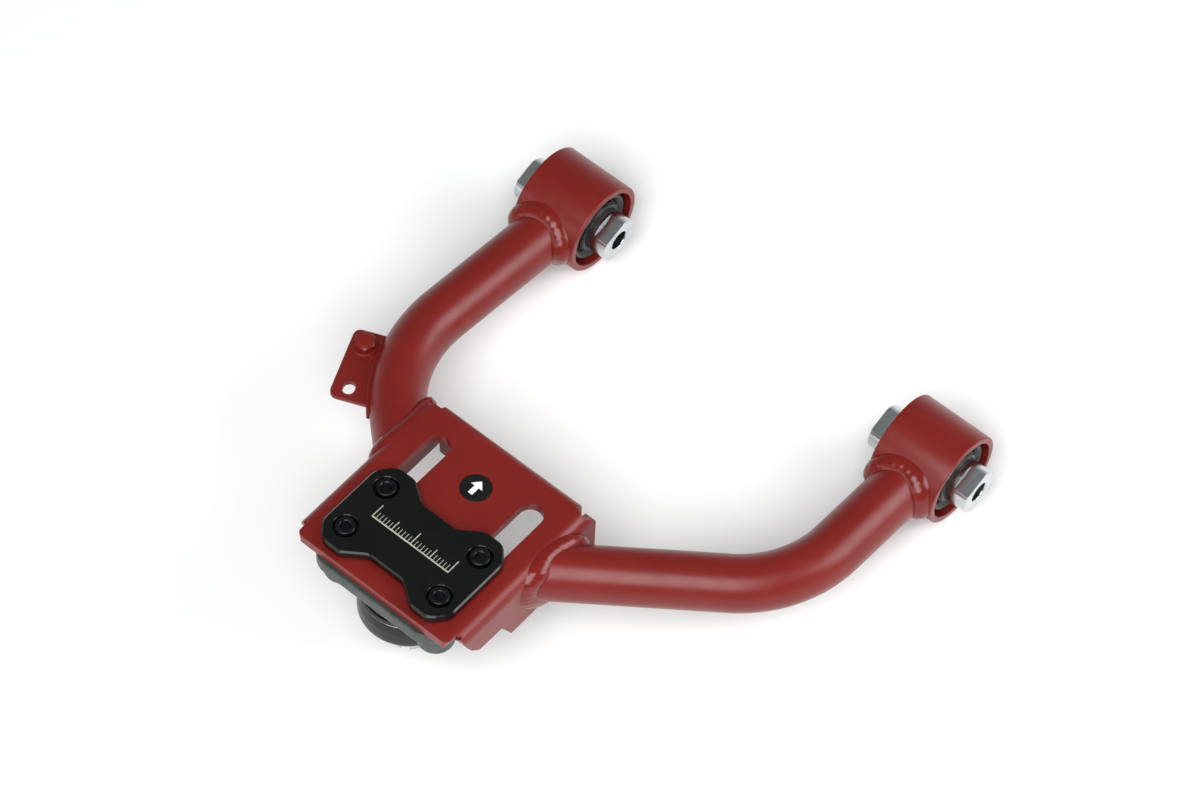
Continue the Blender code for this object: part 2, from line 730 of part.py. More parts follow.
def turned_cutter(name):
    """The stepped bore of the cup: seats and cap from above, the stud's mouth below."""
    top = PLATE_TOP - SHEET
    profile = [
        (0, top + 2), (16.8, top + 2), (16.8, CUP_BOTTOM_Z + 2.4), (13.0, CUP_BOTTOM_Z + 2.4),
        (11.8, CUP_BOTTOM_Z), (11.8, CUP_BOTTOM_Z - 2), (0, CUP_BOTTOM_Z - 2)]
    mesh_piece = turned(name, profile, (PLATE_X, JOINT_Y, 0), coated_iron())
    PARTS.objects.unlink(mesh_piece)
    CUTTERS.objects.link(mesh_piece)
    mesh_piece.hide_render = True
    mesh_piece.display_type = "WIRE"
    return mesh_piece


def make_ball_stud():
    """Ball, neck, taper and thread in one forging, with a cross hole for the pin."""
    cut_height = -11.26
    profile = [(0, BALL_R)]
    profile += [point for point in sphere_arc(BALL_R, BALL_R * 0.97, cut_height, 8)]
    profile += [
        (6.4, -13.5), (6.6, -18.0), (9.4, -20.5), (9.4, -26.5), (8.6, -27.1), (7.4, -35.0),
        (STUD_THREAD_R, -35.2), (STUD_THREAD_R, STUD_TIP_Z - BALL_Z + 1.5),
        (STUD_THREAD_R - 1.5, STUD_TIP_Z - BALL_Z), (0, STUD_TIP_Z - BALL_Z)]
    stud = turned("ball_stud", profile, (PLATE_X, JOINT_Y, BALL_Z), bright_steel())
    hole = cylinder("pin_hole", (PLATE_X, JOINT_Y, -54.5), 1.9, 40.0, axis="X", sides=12)
    return cut(stud, hole)


def make_castle_nut():
    bm = bmesh.new()
    spot = Matrix.Translation((PLATE_X, JOINT_Y, -48.0))
    bmesh.ops.create_cone(bm, cap_ends=True, segments=6, radius1=12.7, radius2=12.7, depth=7.0, matrix=spot)
    nut = mesh_object("castle_nut", bm, zinc())
    crown = cylinder("nut_crown", (PLATE_X, JOINT_Y, -54.0), 10.6, 6.0, sides=32)
    join(nut, crown)
    cut(nut, cylinder("nut_bore", (PLATE_X, JOINT_Y, -50.0), STUD_THREAD_R + GAP, 40.0, sides=32))
    cut(nut, cylinder("nut_mouth", (PLATE_X, JOINT_Y, -44.5), STUD_THREAD_R + 1.3, 1.6, sides=32))
    for index in range(3):
        bm = bmesh.new()
        bmesh.ops.create_cube(bm, size=1.0)
        bmesh.ops.scale(bm, vec=(40.0, 4.0, 9.6), verts=bm.verts)
        turn = Matrix.Rotation(math.radians(60 * index), 4, "Z")
        bmesh.ops.transform(bm, matrix=Matrix.Translation((PLATE_X, JOINT_Y, -57.2)) @ turn, verts=bm.verts)
        cut(nut, mesh_object("nut_slot_%d" % index, bm))
    return nut


def make_cotter_pin():
    """Split pin through the stud, its eye to the rear and its tails bent down."""
    height = -54.5
    points = [(PLATE_X - 13.5, JOINT_Y, height), (PLATE_X + 12.6, JOINT_Y, height)]
    points += [(PLATE_X + 14.4, JOINT_Y, height + 0.8), (PLATE_X + 15.0, JOINT_Y, height + 2.6)]
    points += [(PLATE_X + 15.0, JOINT_Y, height + 6.0)]
    pin = tube_mesh("cotter_pin", points, 1.5, 2)
    return place(pin, zinc())


def make_seats():
    centre = (PLATE_X, JOINT_Y, BALL_Z)
    outer = 16.8 - GAP
    inner = BALL_R + GAP
    lower = [(outer, -GAP / 2), (outer, -4.3)]
    lower += sphere_arc(inner, -4.3, -GAP / 2, 4)
    turned("ball_seat_lower", lower, centre, nylon())
    upper = [(outer, 10.5), (outer, GAP / 2)]
    upper += sphere_arc(inner, GAP / 2, 10.5, 6)
    turned("ball_seat_upper", upper, centre, nylon())
    wave = [(15.0, 11.9), (15.0, 10.9), (10.5, 12.7), (10.5, 13.7)]
    turned("preload_spring", wave, centre, bright_steel())
    cap_top = PLATE_TOP - SHEET - GAP - BALL_Z
    cap = [(0, cap_top), (outer, cap_top), (outer, cap_top - 3.2), (0, cap_top - 3.2)]
    turned("ball_joint_cap", cap, centre, coated_iron())


def make_joint_boot():
    """The rubber boot's moving collar with its bands, between the cup and the stud's taper."""
    centre = (PLATE_X, JOINT_Y, 0)
    collar = [
        (BOOT_R - 1.2, -21.9), (BOOT_R, -23.9), (BOOT_R, BOOT_WIDEST_Z), (BOOT_R - 1.6, -29.9), (20.0, -29.9),
        (20.0, -21.9)]
    turned("ball_joint_boot", collar, centre, black_rubber())
    top_wire = arc(CUP_R + GAP + 0.6, CUP_BOTTOM_Z + 1.0, 0.6, 90, -270, 6)[:-1]
    turned("boot_top_band", top_wire, centre, bright_steel())
    low_wire = arc(10.7, LOW_BAND_Z, 0.8, 90, -270, 6)[:-1]
    turned("boot_low_band", low_wire, centre, bright_steel())


# ---------------------------------------------------------------------- build

make_slotted_plate()
for end_name, leg_data in (("rear", REAR_LEG), ("front", FRONT_LEG)):
    make_housing(end_name, leg_data["x"])
    make_leg(end_name, leg_data)
    make_housing_weld(end_name, leg_data)
    make_plate_weld(end_name, leg_data)
    make_bushing(end_name, leg_data["x"])
make_bracket()
make_bracket_nut()
make_label()
make_clamp_plate()
for number, (spot_x, spot_y) in enumerate(screw_spots(), start=1):
    make_clamp_screw(number, spot_x, spot_y)
make_joint_housing()
make_seats()
make_joint_boot()
make_ball_stud()
make_castle_nut()
make_cotter_pin()
bpy.context.view_layer.update()
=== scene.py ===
"""Looks of the adjustable tubular control arm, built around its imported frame.

The fine pieces are modelled in the arm's own frame, in millimetres: X runs along the
pivot axis from the rear bushing to the front one, Y points inboard, Z is the arm's
upper side, and the origin is the rear bushing's centre.  ARM_TO_ROW carries each
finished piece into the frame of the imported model.
"""

import json
import math

import bmesh
import bpy
from mathutils import Matrix, Vector


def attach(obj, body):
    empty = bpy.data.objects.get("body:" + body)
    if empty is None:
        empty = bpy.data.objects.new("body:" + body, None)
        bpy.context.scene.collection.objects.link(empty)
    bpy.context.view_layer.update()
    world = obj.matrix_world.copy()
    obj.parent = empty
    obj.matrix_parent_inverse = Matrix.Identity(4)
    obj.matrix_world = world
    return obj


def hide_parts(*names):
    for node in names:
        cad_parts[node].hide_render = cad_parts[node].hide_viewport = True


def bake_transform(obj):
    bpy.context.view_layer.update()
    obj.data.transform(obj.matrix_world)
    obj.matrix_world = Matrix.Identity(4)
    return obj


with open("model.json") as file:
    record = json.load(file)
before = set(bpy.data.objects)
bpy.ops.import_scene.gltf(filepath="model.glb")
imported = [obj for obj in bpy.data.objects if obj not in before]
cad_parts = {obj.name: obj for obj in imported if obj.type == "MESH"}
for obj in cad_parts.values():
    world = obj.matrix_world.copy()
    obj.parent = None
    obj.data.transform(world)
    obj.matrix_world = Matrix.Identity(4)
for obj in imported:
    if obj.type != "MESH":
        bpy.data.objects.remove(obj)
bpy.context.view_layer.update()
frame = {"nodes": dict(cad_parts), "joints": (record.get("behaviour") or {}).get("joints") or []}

MM = 0.001

# Pivot axis, housings and legs
HOUSING_R = 25.0
HOUSING_BORE_R = 21.5
HOUSING_HALF = 19.5
TUBE_R = 14.3
TUBE_WALL = 3.0
LEG_START = 12.0
LEG_OVERRUN = 120.0
BEND_STEPS = 40
TUBE_SIDES = 72
TRIM_GAP = 0.4

# Slotted plate
PLATE_X = 80.2
PLATE_HALF = 52.2
PLATE_TOP = 16.0
SHEET = 6.0
PLATE_FRONT_Y = -243.3
PLATE_REAR_Y = -139.2
PLATE_BOTTOM = -21.0
REAR_FLANGE_BOTTOM = -4.0
DEEP_REAR_FLANGE_X = 66.0
BEND_R = 7.0
BEND_LENGTH = BEND_R * math.pi / 2
BEND_CUTS = 12
FOLD_X = PLATE_HALF - BEND_R
FOLD_Y = PLATE_REAR_Y - BEND_R
SLOT_WIDTH = 13.0
ROUND_END_STEPS = 20
SLOT_ENDS = (-235.85, -155.45)
LABEL_Y = -167.6
LABEL_R = 7.8
LABEL_TOP = 15.98
LABEL_LOW = 15.3
ARROW_HEIGHTS = (15.9, 16.05)

# Ball joint and clamp
SCREW_SPACING = (59.6, 29.1)
CLAMP_Y = -213.4
JOINT_Y = -216.0
CLAMP_LOW = 16.3
CLAMP_TOP = 21.8
CLAMP_HALF = (40.9, 27.4)
CLAMP_WAIST = 19.2
COUNTERBORE_R = 6.1
SCREW_HEAD_R = 5.0
SCREW_R = 3.0
SCREW_SEAT = CLAMP_LOW + 1.8
SCREW_TOP = SCREW_SEAT + 4.4
HEX_R = 3.0
HEX_DEPTH = 2.8
SCALE_Y = CLAMP_Y - 1.5
SCALE_STEPS = 24
SCALE_PITCH = 2.0
FLANGE_TOP = 9.7
FLANGE_BOTTOM = 1.9
FLANGE_HALF = (40.0, 29.4)
FLANGE_CORNER_R = 12.0
BOSS_R = 10.0
BOSS_BOTTOM = -12.8
CUP_R = 20.5
CUP_COLLAR_R = 23.2
CUP_COLLAR_BOTTOM = -12.5
CUP_BOTTOM = -16.0
BALL_R = 13.0
BALL_Z = -9.0
BOOT_R = 25.6
BOOT_WAIST_Z = -28.2
BOOT_UPPER_BLEND = (-16.5, -25.5)
BOOT_LOWER_BLEND = (-29.4, -34.2)
STUD_TIP_Z = -61.0
THREAD_R = 7.0
THREAD_PITCH = 1.5
THREAD_DEPTH = 0.85
THREAD_TOP = -44.2
THREAD_TAPER = 1.5
NUT_R = 12.7
NUT_TOP = -44.5
NUT_BOTTOM = -51.5
NUT_SLOT_Z = -57.2
PIN_Z = -54.5
PIN_WIRE = 0.6
PIN_HOLE_R = 1.9
PIN_EYE_R = 2.1
PIN_EYE_X = -16.2
PIN_BEND_R = 2.4
HOOP_STEPS = 96

# Pillow bushing
SLEEVE_HALF = 30.0
SLEEVE_R = 12.0
BORE_R = 5.3
SHANK_R = 8.0
SHOULDER_X = 9.3
FLAT_LENGTH = 8.5
FLAT_HEIGHT = 9.6
FLAT_TURN = 20.0
DUST_BOOT_BLEND = (12.0, 17.0)
GARTER_R = 14.2
GARTER_X = 16.2
CIRCLIP_REACH = 7.3
CIRCLIP_INNER_R = 18.6
CIRCLIP_OUTER_R = 21.3
CIRCLIP_LUGS_R = 18.2
CIRCLIP_THICK = 1.6
CIRCLIP_GAP = 16.0

# Weld beads: fillet size, ripples around the leg and unevenness
RIPPLE_DEPTH = 0.13
BEAD_CROWN = 0.62
BEAD_PAST_PLATE = 1.5
HOUSING_BEAD = (5.4, 26, 0.13)
PLATE_BEAD = (5.6, 34, 0.18)
HOUSING_SEARCH = (10.0, 45.0)

# Hose bracket
BRACKET_CORNER = (-33.0, -128.3)
BRACKET_TURN = 23.0
BRACKET_LENGTH = 42.1
BRACKET_DEPTH = 34.0
BRACKET_SHEET = 2.8
BRACKET_HOLE = (8.6, 31.3, 39.1, 6.2)
BRACKET_NUT = (8.8, 7.8)
BRACKET_NUT_R = 6.0

# Range of a noise value that the materials spread over their own values
NOISE_RANGE = (0.3, 0.7)


# ------------------------------------------------------------------ frames

def joint(name):
    return next(item for item in frame["joints"] if item["name"] == name)


def arm_to_row():
    """The arm's own frame in the row frame, from the joints' places and axes."""
    origin = Vector(joint("rear_sleeve_tilt")["pos_m"])
    axes = [Vector(joint(name)["axis"]) for name in ("rear_sleeve_spin", "ball_joint_slide", "stud_spin")]
    turn = Matrix(axes).transposed().to_4x4()
    return Matrix.Translation(origin) @ turn @ Matrix.Scale(MM, 4)


ARM_TO_ROW = arm_to_row()
PIVOTS = [Vector(joint(name)["pos_m"]) for name in ("rear_sleeve_tilt", "front_sleeve_tilt")]
PIVOT_SPACING = (PIVOTS[1] - PIVOTS[0]).length / MM
REAR_LEG = {"x": 0.0, "side": 1, "splay": -4.0, "straight": 93.0, "bend_r": 75.0, "turn": 51.5}
FRONT_LEG = {"x": PIVOT_SPACING, "side": -1, "splay": 2.0, "straight": 71.0, "bend_r": 65.0, "turn": 51.0}
LEGS = (("rear", REAR_LEG), ("front", FRONT_LEG))


# --------------------------------------------------------------- materials

def node(look, kind, **inputs):
    """Add a shader node, with its sockets set or linked by name."""
    made = look.node_tree.nodes.new(kind)
    for name, value in inputs.items():
        socket = made.inputs[name.replace("_", " ")]
        if isinstance(value, bpy.types.NodeSocket):
            look.node_tree.links.new(value, socket)
        else:
            socket.default_value = value
    return made


def new_look(name, metallic=0.0):
    look = bpy.data.materials.new(name)
    look.use_nodes = True
    shader = look.node_tree.nodes["Principled BSDF"]
    shader.inputs["Metallic"].default_value = metallic
    return look, shader


def noise(look, scale, detail=2.0, stretch=None):
    """A noise value over the object's own coordinates, in cells per metre."""
    place = node(look, "ShaderNodeTexCoord").outputs["Object"]
    if stretch:
        place = node(look, "ShaderNodeMapping", Vector=place, Scale=stretch).outputs["Vector"]
    return node(look, "ShaderNodeTexNoise", Vector=place, Scale=scale, Detail=detail).outputs["Fac"]


def spread(look, value, low, high):
    """Map a noise value onto the range from low to high."""
    made = node(look, "ShaderNodeMapRange", Value=value)
    for name, number in zip(("From Min", "From Max", "To Min", "To Max"), (*NOISE_RANGE, low, high)):
        made.inputs[name].default_value = number
    return made.outputs["Result"]


def shades(look, value, dark, light):
    """Blend two colours by a noise value."""
    ramp = node(look, "ShaderNodeValToRGB", Fac=value)
    ramp.color_ramp.elements[0].position = NOISE_RANGE[0]
    ramp.color_ramp.elements[0].color = (*dark, 1.0)
    ramp.color_ramp.elements[1].position = NOISE_RANGE[1]
    ramp.color_ramp.elements[1].color = (*light, 1.0)
    return ramp.outputs["Color"]


def bump(look, shader, *layers):
    """Stack bump layers, each a noise value with its strength and its height in metres."""
    normal = None
    for value, strength, height in layers:
        made = node(look, "ShaderNodeBump", Height=value, Strength=strength, Distance=height)
        if normal is not None:
            look.node_tree.links.new(normal, made.inputs["Normal"])
        normal = made.outputs["Normal"]
    look.node_tree.links.new(normal, shader.inputs["Normal"])


def link(look, value, shader, socket):
    look.node_tree.links.new(value, shader.inputs[socket])


def powder_coat(name, dark, light, rough, grain):
    """Baked powder coat: fine orange peel, slow colour drift and small gloss changes."""
    look, shader = new_look(name)
    link(look, shades(look, noise(look, 38.0, 4.0), dark, light), shader, "Base Color")
    link(look, spread(look, noise(look, 160.0, 3.0), rough - 0.03, rough + 0.05), shader, "Roughness")
    shader.inputs["Specular IOR Level"].default_value = 0.38
    bump(look, shader, (noise(look, 620.0, 1.0), grain, 0.00004), (noise(look, 160.0, 1.0), 0.10, 0.00006))
    return look


def anodised(name):
    """Gloss black anodising with a faint polish grain."""
    look, shader = new_look(name)
    tone = shades(look, noise(look, 90.0, 3.0), (0.0015, 0.0022, 0.0016), (0.003, 0.004, 0.003))
    link(look, tone, shader, "Base Color")
    link(look, spread(look, noise(look, 420.0, 4.0), 0.16, 0.24), shader, "Roughness")
    shader.inputs["Specular IOR Level"].default_value = 0.40
    bump(look, shader, (noise(look, 1500.0, 2.0), 0.04, 0.00003))
    return look


def machined(name, dark, light, rough, stretch):
    """Bright turned steel, with fine tool marks along one direction."""
    look, shader = new_look(name, metallic=1.0)
    marks = noise(look, 1.0, 3.0, stretch)
    link(look, shades(look, noise(look, 120.0, 3.0), dark, light), shader, "Base Color")
    link(look, spread(look, marks, rough - 0.05, rough + 0.09), shader, "Roughness")
    bump(look, shader, (marks, 0.10, 0.00002))
    return look


def coated(name, dark, light, rough, metallic, grain):
    """Phosphate, black oxide or cast coating: mottled, slightly rough."""
    look, shader = new_look(name, metallic)
    link(look, shades(look, noise(look, 150.0, 5.0), dark, light), shader, "Base Color")
    link(look, spread(look, noise(look, 330.0, 4.0), rough - 0.06, rough + 0.08), shader, "Roughness")
    bump(look, shader, (noise(look, 520.0, 4.0), grain, 0.00008))
    return look


def rubber(name):
    """Moulded rubber with a little bloom."""
    look, shader = new_look(name)
    bloom = noise(look, 75.0, 5.0)
    link(look, shades(look, bloom, (0.003, 0.0036, 0.0034), (0.007, 0.0084, 0.008)), shader, "Base Color")
    link(look, spread(look, noise(look, 260.0, 4.0), 0.26, 0.38), shader, "Roughness")
    shader.inputs["Specular IOR Level"].default_value = 0.35
    bump(look, shader, (noise(look, 700.0, 3.0), 0.10, 0.00005), (bloom, 0.10, 0.0002))
    return look


def plain_print(name, dark, light, rough):
    """Printed vinyl or filled engraving."""
    look, shader = new_look(name)
    link(look, shades(look, noise(look, 260.0, 3.0), dark, light), shader, "Base Color")
    link(look, spread(look, noise(look, 500.0, 2.0), rough - 0.05, rough + 0.05), shader, "Roughness")
    bump(look, shader, (noise(look, 1300.0, 2.0), 0.05, 0.00003))
    return look


LOOKS = {
    "red_paint": powder_coat("red_powder_coat", (0.150, 0.0085, 0.0060), (0.172, 0.0100, 0.0070), 0.33, 0.25),
    "weld_beads": powder_coat(
        "red_coat_on_weld", (0.140, 0.0075, 0.0055), (0.165, 0.0092, 0.0065), 0.20, 0.08),
    "black_anodised": anodised("black_anodising"),
    "side_label": plain_print("black_vinyl", (0.002, 0.002, 0.002), (0.004, 0.004, 0.004), 0.30),
    "white_print": plain_print("white_vinyl_print", (0.78, 0.78, 0.77), (0.86, 0.86, 0.85), 0.40),
    "etched_marks": plain_print("etched_scale", (0.30, 0.31, 0.26), (0.42, 0.43, 0.37), 0.50),
    "black_screws": coated("black_oxide", (0.010, 0.011, 0.012), (0.022, 0.024, 0.026), 0.28, 0.8, 0.10),
    "ball_joint_coating": coated(
        "grey_phosphate", (0.040, 0.050, 0.046), (0.075, 0.088, 0.080), 0.46, 0.35, 0.35),
    "spring_steel": coated("oiled_spring_steel", (0.12, 0.12, 0.12), (0.24, 0.24, 0.23), 0.30, 1.0, 0.10),
    "bearing_nylon": coated("natural_nylon", (0.66, 0.65, 0.60), (0.76, 0.75, 0.71), 0.48, 0.0, 0.10),
    "bright_steel": machined(
        "turned_bright_steel", (0.50, 0.53, 0.54), (0.62, 0.65, 0.66), 0.17, (2600.0, 60.0, 60.0)),
    "zinc_plate": coated("clear_zinc_plate", (0.46, 0.45, 0.39), (0.60, 0.59, 0.52), 0.32, 1.0, 0.12),
    "black_rubber": rubber("moulded_rubber"),
}


# ----------------------------------------------------------- building blocks

def solid(name, bm):
    """Turn a bmesh drawn in the arm's millimetres into an object in the row frame."""
    bmesh.ops.remove_doubles(bm, verts=bm.verts, dist=0.004)
    bmesh.ops.recalc_face_normals(bm, faces=bm.faces)
    mesh = bpy.data.meshes.new(name)
    bm.to_mesh(mesh)
    bm.free()
    mesh.transform(ARM_TO_ROW)
    obj = bpy.data.objects.new(name, mesh)
    bpy.context.scene.collection.objects.link(obj)
    return obj


def applied(obj):
    """Bake an object's modifiers into its mesh."""
    graph = bpy.context.evaluated_depsgraph_get()
    made = bpy.data.meshes.new_from_object(obj.evaluated_get(graph))
    old = obj.data
    obj.modifiers.clear()
    obj.data = made
    bpy.data.meshes.remove(old)
    return obj


def combine(obj, operation, others):
    for other in others:
        step = obj.modifiers.new(other.name, "BOOLEAN")
        step.operation = operation
        step.object = other
    applied(obj)
    for other in others:
        bpy.data.objects.remove(other, do_unlink=True)
    return obj


def cut(obj, *cutters):
    return combine(obj, "DIFFERENCE", cutters)


def join(obj, *others):
    return combine(obj, "UNION", others)


def keep(obj, *limits):
    return combine(obj, "INTERSECT", limits)


def ease(obj, width, segments=2, angle=35.0):
    """Round or chamfer every edge sharper than angle."""
    edge = obj.modifiers.new("edges", "BEVEL")
    edge.width = width * MM
    edge.segments = segments
    edge.limit_method = "ANGLE"
    edge.angle_limit = math.radians(angle)
    edge.use_clamp_overlap = False
    return applied(obj)


def dress(obj, look, body, nodes=(), angle=32.0, flat_faced=False):
    """Give a finished piece its material, shading and body, and hide the CAD nodes it stands for."""
    obj.data.shade_smooth()
    obj.data.set_sharp_from_angle(angle=math.radians(angle))
    if flat_faced:
        weigh = obj.modifiers.new("weigh", "WEIGHTED_NORMAL")
        weigh.keep_sharp = True
        applied(obj)
    obj.data.materials.clear()
    obj.data.materials.append(LOOKS[look])
    if body is not None:
        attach(obj, body)
    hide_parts(*nodes)


def skin_between(bm, row, following, left_out=()):
    """Quads between two closed loops of vertices, apart from the steps left out."""
    count = len(row)
    for step in range(count):
        other = (step + 1) % count
        if step not in left_out:
            bm.faces.new((row[step], row[other], following[other], following[step]))


def ring_grid(name, rows, left_out=()):
    """Closed skin over rows of points, each row a closed loop and the last row joined to the first."""
    bm = bmesh.new()
    verts = [[bm.verts.new(point) for point in row] for row in rows]
    for index, row in enumerate(verts):
        skin_between(bm, row, verts[(index + 1) % len(verts)], left_out)
    return solid(name, bm)


def bar_grid(name, rows):
    """Closed skin over rows of points with flat ends, for a solid bar."""
    bm = bmesh.new()
    verts = [[bm.verts.new(point) for point in row] for row in rows]
    for row, following in zip(verts, verts[1:]):
        skin_between(bm, row, following)
    bm.faces.new(reversed(verts[0]))
    bm.faces.new(verts[-1])
    return solid(name, bm)


def arc(centre, radius, start, end, steps):
    """Points on an arc, with angles in degrees."""
    points = []
    for index in range(steps + 1):
        angle = math.radians(start + (end - start) * index / steps)
        points.append((centre[0] + radius * math.cos(angle), centre[1] + radius * math.sin(angle)))
    return points


def circle(centre, radius, sides, start=0):
    """Points around a whole circle, from a starting angle in degrees."""
    return arc(centre, radius, start, start + 360, sides)[:-1]


def softened(corners, steps=6):
    """A closed outline from (a, b, radius) corners, each rounded to its own radius."""
    outline = []
    count = len(corners)
    for index, (a, b, radius) in enumerate(corners):
        here = Vector((a, b))
        before = Vector(corners[index - 1][:2]) - here
        after = Vector(corners[(index + 1) % count][:2]) - here
        if radius <= 0 or before.length < 1e-6 or after.length < 1e-6:
            outline.append((a, b))
            continue
        opening = before.angle(after)
        reach = min(radius / math.tan(opening / 2), 0.49 * before.length, 0.49 * after.length)
        first = here + before.normalized() * reach
        last = here + after.normalized() * reach
        for step in range(steps + 1):
            t = step / steps
            point = first * (1 - t) ** 2 + here * 2 * t * (1 - t) + last * t ** 2
            outline.append((point.x, point.y))
    return outline


def turned(name, profile, centre, axis="Z", sides=96):
    """Turn a closed profile of (radius, height) points; a point on the axis closes the solid there."""
    rows = []
    for index in range(sides):
        angle = 2 * math.pi * index / sides
        row = []
        for radius, height in profile:
            a, b = radius * math.cos(angle), radius * math.sin(angle)
            local = (height, a, b) if axis == "X" else (a, b, height)
            row.append(Vector(centre) + Vector(local))
        rows.append(row)
    following = profile[1:] + profile[:1]
    on_axis = [step for step in range(len(profile)) if max(profile[step][0], following[step][0]) < 1e-6]
    return ring_grid(name, rows, on_axis)


def extruded(name, points, push):
    """Push a flat closed loop of points along a vector."""
    bm = bmesh.new()
    face = bm.faces.new([bm.verts.new(point) for point in points])
    pushed = bmesh.ops.extrude_face_region(bm, geom=[face])
    moved = [item for item in pushed["geom"] if isinstance(item, bmesh.types.BMVert)]
    bmesh.ops.translate(bm, vec=push, verts=moved)
    return solid(name, bm)


def slab(name, outline, low, high):
    """Extrude a closed outline of (x, y) points from low to high."""
    return extruded(name, [(x, y, low) for x, y in outline], (0, 0, high - low))


def add_box(bm, low, high):
    verts = bmesh.ops.create_cube(bm, size=1.0)["verts"]
    bmesh.ops.scale(bm, vec=Vector(high) - Vector(low), verts=verts)
    bmesh.ops.translate(bm, vec=(Vector(high) + Vector(low)) / 2, verts=verts)


def block(name, low, high, move=None):
    """A box between two corners, moved by a matrix when one is given."""
    bm = bmesh.new()
    add_box(bm, low, high)
    if move is not None:
        bmesh.ops.transform(bm, matrix=move, verts=bm.verts)
    return solid(name, bm)


def drum(name, centre, radius, low, high, sides=64):
    """An upright cylinder."""
    return slab(name, circle(centre, radius, sides), low, high)


def swept(name, points, radius, sides=16, closed=False):
    """A round bar along a list of points."""
    rows = []
    count = len(points)
    reference = Vector((0.31, 0.47, 0.83))
    for index, point in enumerate(points):
        before = points[(index - 1) % count] if closed or index else points[index]
        after = points[(index + 1) % count] if closed or index < count - 1 else points[index]
        along = (Vector(after) - Vector(before)).normalized()
        across = (reference - along * reference.dot(along)).normalized()
        upward = along.cross(across)
        reference = across
        row = []
        for step in range(sides):
            angle = 2 * math.pi * step / sides
            row.append(Vector(point) + (across * math.cos(angle) + upward * math.sin(angle)) * radius)
        rows.append(row)
    return ring_grid(name, rows) if closed else bar_grid(name, rows)


# ---------------------------------------------------------------- leg route

def heading(leg, angle):
    turn = math.radians(angle)
    return Vector((leg["side"] * math.sin(turn), -math.cos(turn), 0))


def inner_normal(leg, angle):
    turn = math.radians(angle)
    return Vector((leg["side"] * math.cos(turn), math.sin(turn), 0))


def route(leg, distance):
    """Centre point, direction and inner normal at a distance from the pivot along a leg."""
    start = Vector((leg["x"], 0, 0))
    bend = math.radians(leg["turn"]) * leg["bend_r"]
    if distance <= leg["straight"]:
        along = heading(leg, leg["splay"])
        return start + along * distance, along, inner_normal(leg, leg["splay"])
    corner = start + heading(leg, leg["splay"]) * leg["straight"]
    centre = corner + inner_normal(leg, leg["splay"]) * leg["bend_r"]
    share = min((distance - leg["straight"]) / bend, 1.0)
    angle = leg["splay"] + leg["turn"] * share
    point = centre - inner_normal(leg, angle) * leg["bend_r"]
    beyond = max(0.0, distance - leg["straight"] - bend)
    return point + heading(leg, angle) * beyond, heading(leg, angle), inner_normal(leg, angle)


def flange_face(leg):
    """X of the plate flange's outer face on a leg's side."""
    return PLATE_X - leg["side"] * PLATE_HALF


def skin_point(leg, distance, angle, radius):
    point, along, inner = route(leg, distance)
    out = inner * math.cos(angle) + Vector((0, 0, 1)) * math.sin(angle)
    return point + out * radius, along, out


def make_leg(end, leg):
    """A hollow leg, coped to its housing and cut off against the plate's side flange."""
    bend = math.radians(leg["turn"]) * leg["bend_r"]
    stops = [LEG_START, leg["straight"]]
    stops += [leg["straight"] + bend * (index + 1) / BEND_STEPS for index in range(BEND_STEPS)]
    stops.append(leg["straight"] + bend + LEG_OVERRUN)
    rows = []
    for radius, distances in ((TUBE_R, stops), (TUBE_R - TUBE_WALL, reversed(stops))):
        for distance in distances:
            angles = [2 * math.pi * step / TUBE_SIDES for step in range(TUBE_SIDES)]
            rows.append([skin_point(leg, distance, angle, radius)[0] for angle in angles])
    tube = ring_grid(end + "_leg", rows)
    profile = [(0, -40), (HOUSING_R - TRIM_GAP, -40), (HOUSING_R - TRIM_GAP, 40), (0, 40)]
    cope = turned(end + "_cope", profile, (leg["x"], 0, 0), "X", 128)
    face = flange_face(leg) + leg["side"] * TRIM_GAP
    ends = sorted((face, face + leg["side"] * 200))
    trim = block(end + "_trim", (ends[0], -330, -40), (ends[1], -60, 40))
    cut(tube, cope, trim)
    dress(tube, "red_paint", "arm", nodes=[end + "_leg_tube"])


# -------------------------------------------------------------------- welds

def housing_gap(point):
    """Distance outside the housing's skin, and the direction straight out of it."""
    out = Vector((0, point.y, point.z))
    return out.length - HOUSING_R, out.normalized()


def flange_gap(leg):
    """A measure of the distance outside the plate's side flange, which rolls over into its top."""
    def gap(point):
        proud = leg["side"] * (flange_face(leg) - point.x)
        over = point.z - (PLATE_TOP - BEND_R)
        if over <= 0:
            return proud, Vector((-leg["side"], 0, 0))
        out = Vector((-leg["side"] * max(0.0, proud + BEND_R), 0, over))
        return out.length - BEND_R, out.normalized()
    return gap


def seam(leg, angle, gap, near, far):
    """Where the leg's skin at an angle meets the other surface, between two distances."""
    def clear(distance):
        return gap(skin_point(leg, distance, angle, TUBE_R)[0])[0]
    low, high = near, far
    rising = clear(high) > clear(low)
    for _ in range(40):
        middle = (low + high) / 2
        if (clear(middle) > 0) == rising:
            high = middle
        else:
            low = middle
    point, along, out = skin_point(leg, (low + high) / 2, angle, TUBE_R)
    away = along if rising else -along
    return point, away, out, gap(point)[1]


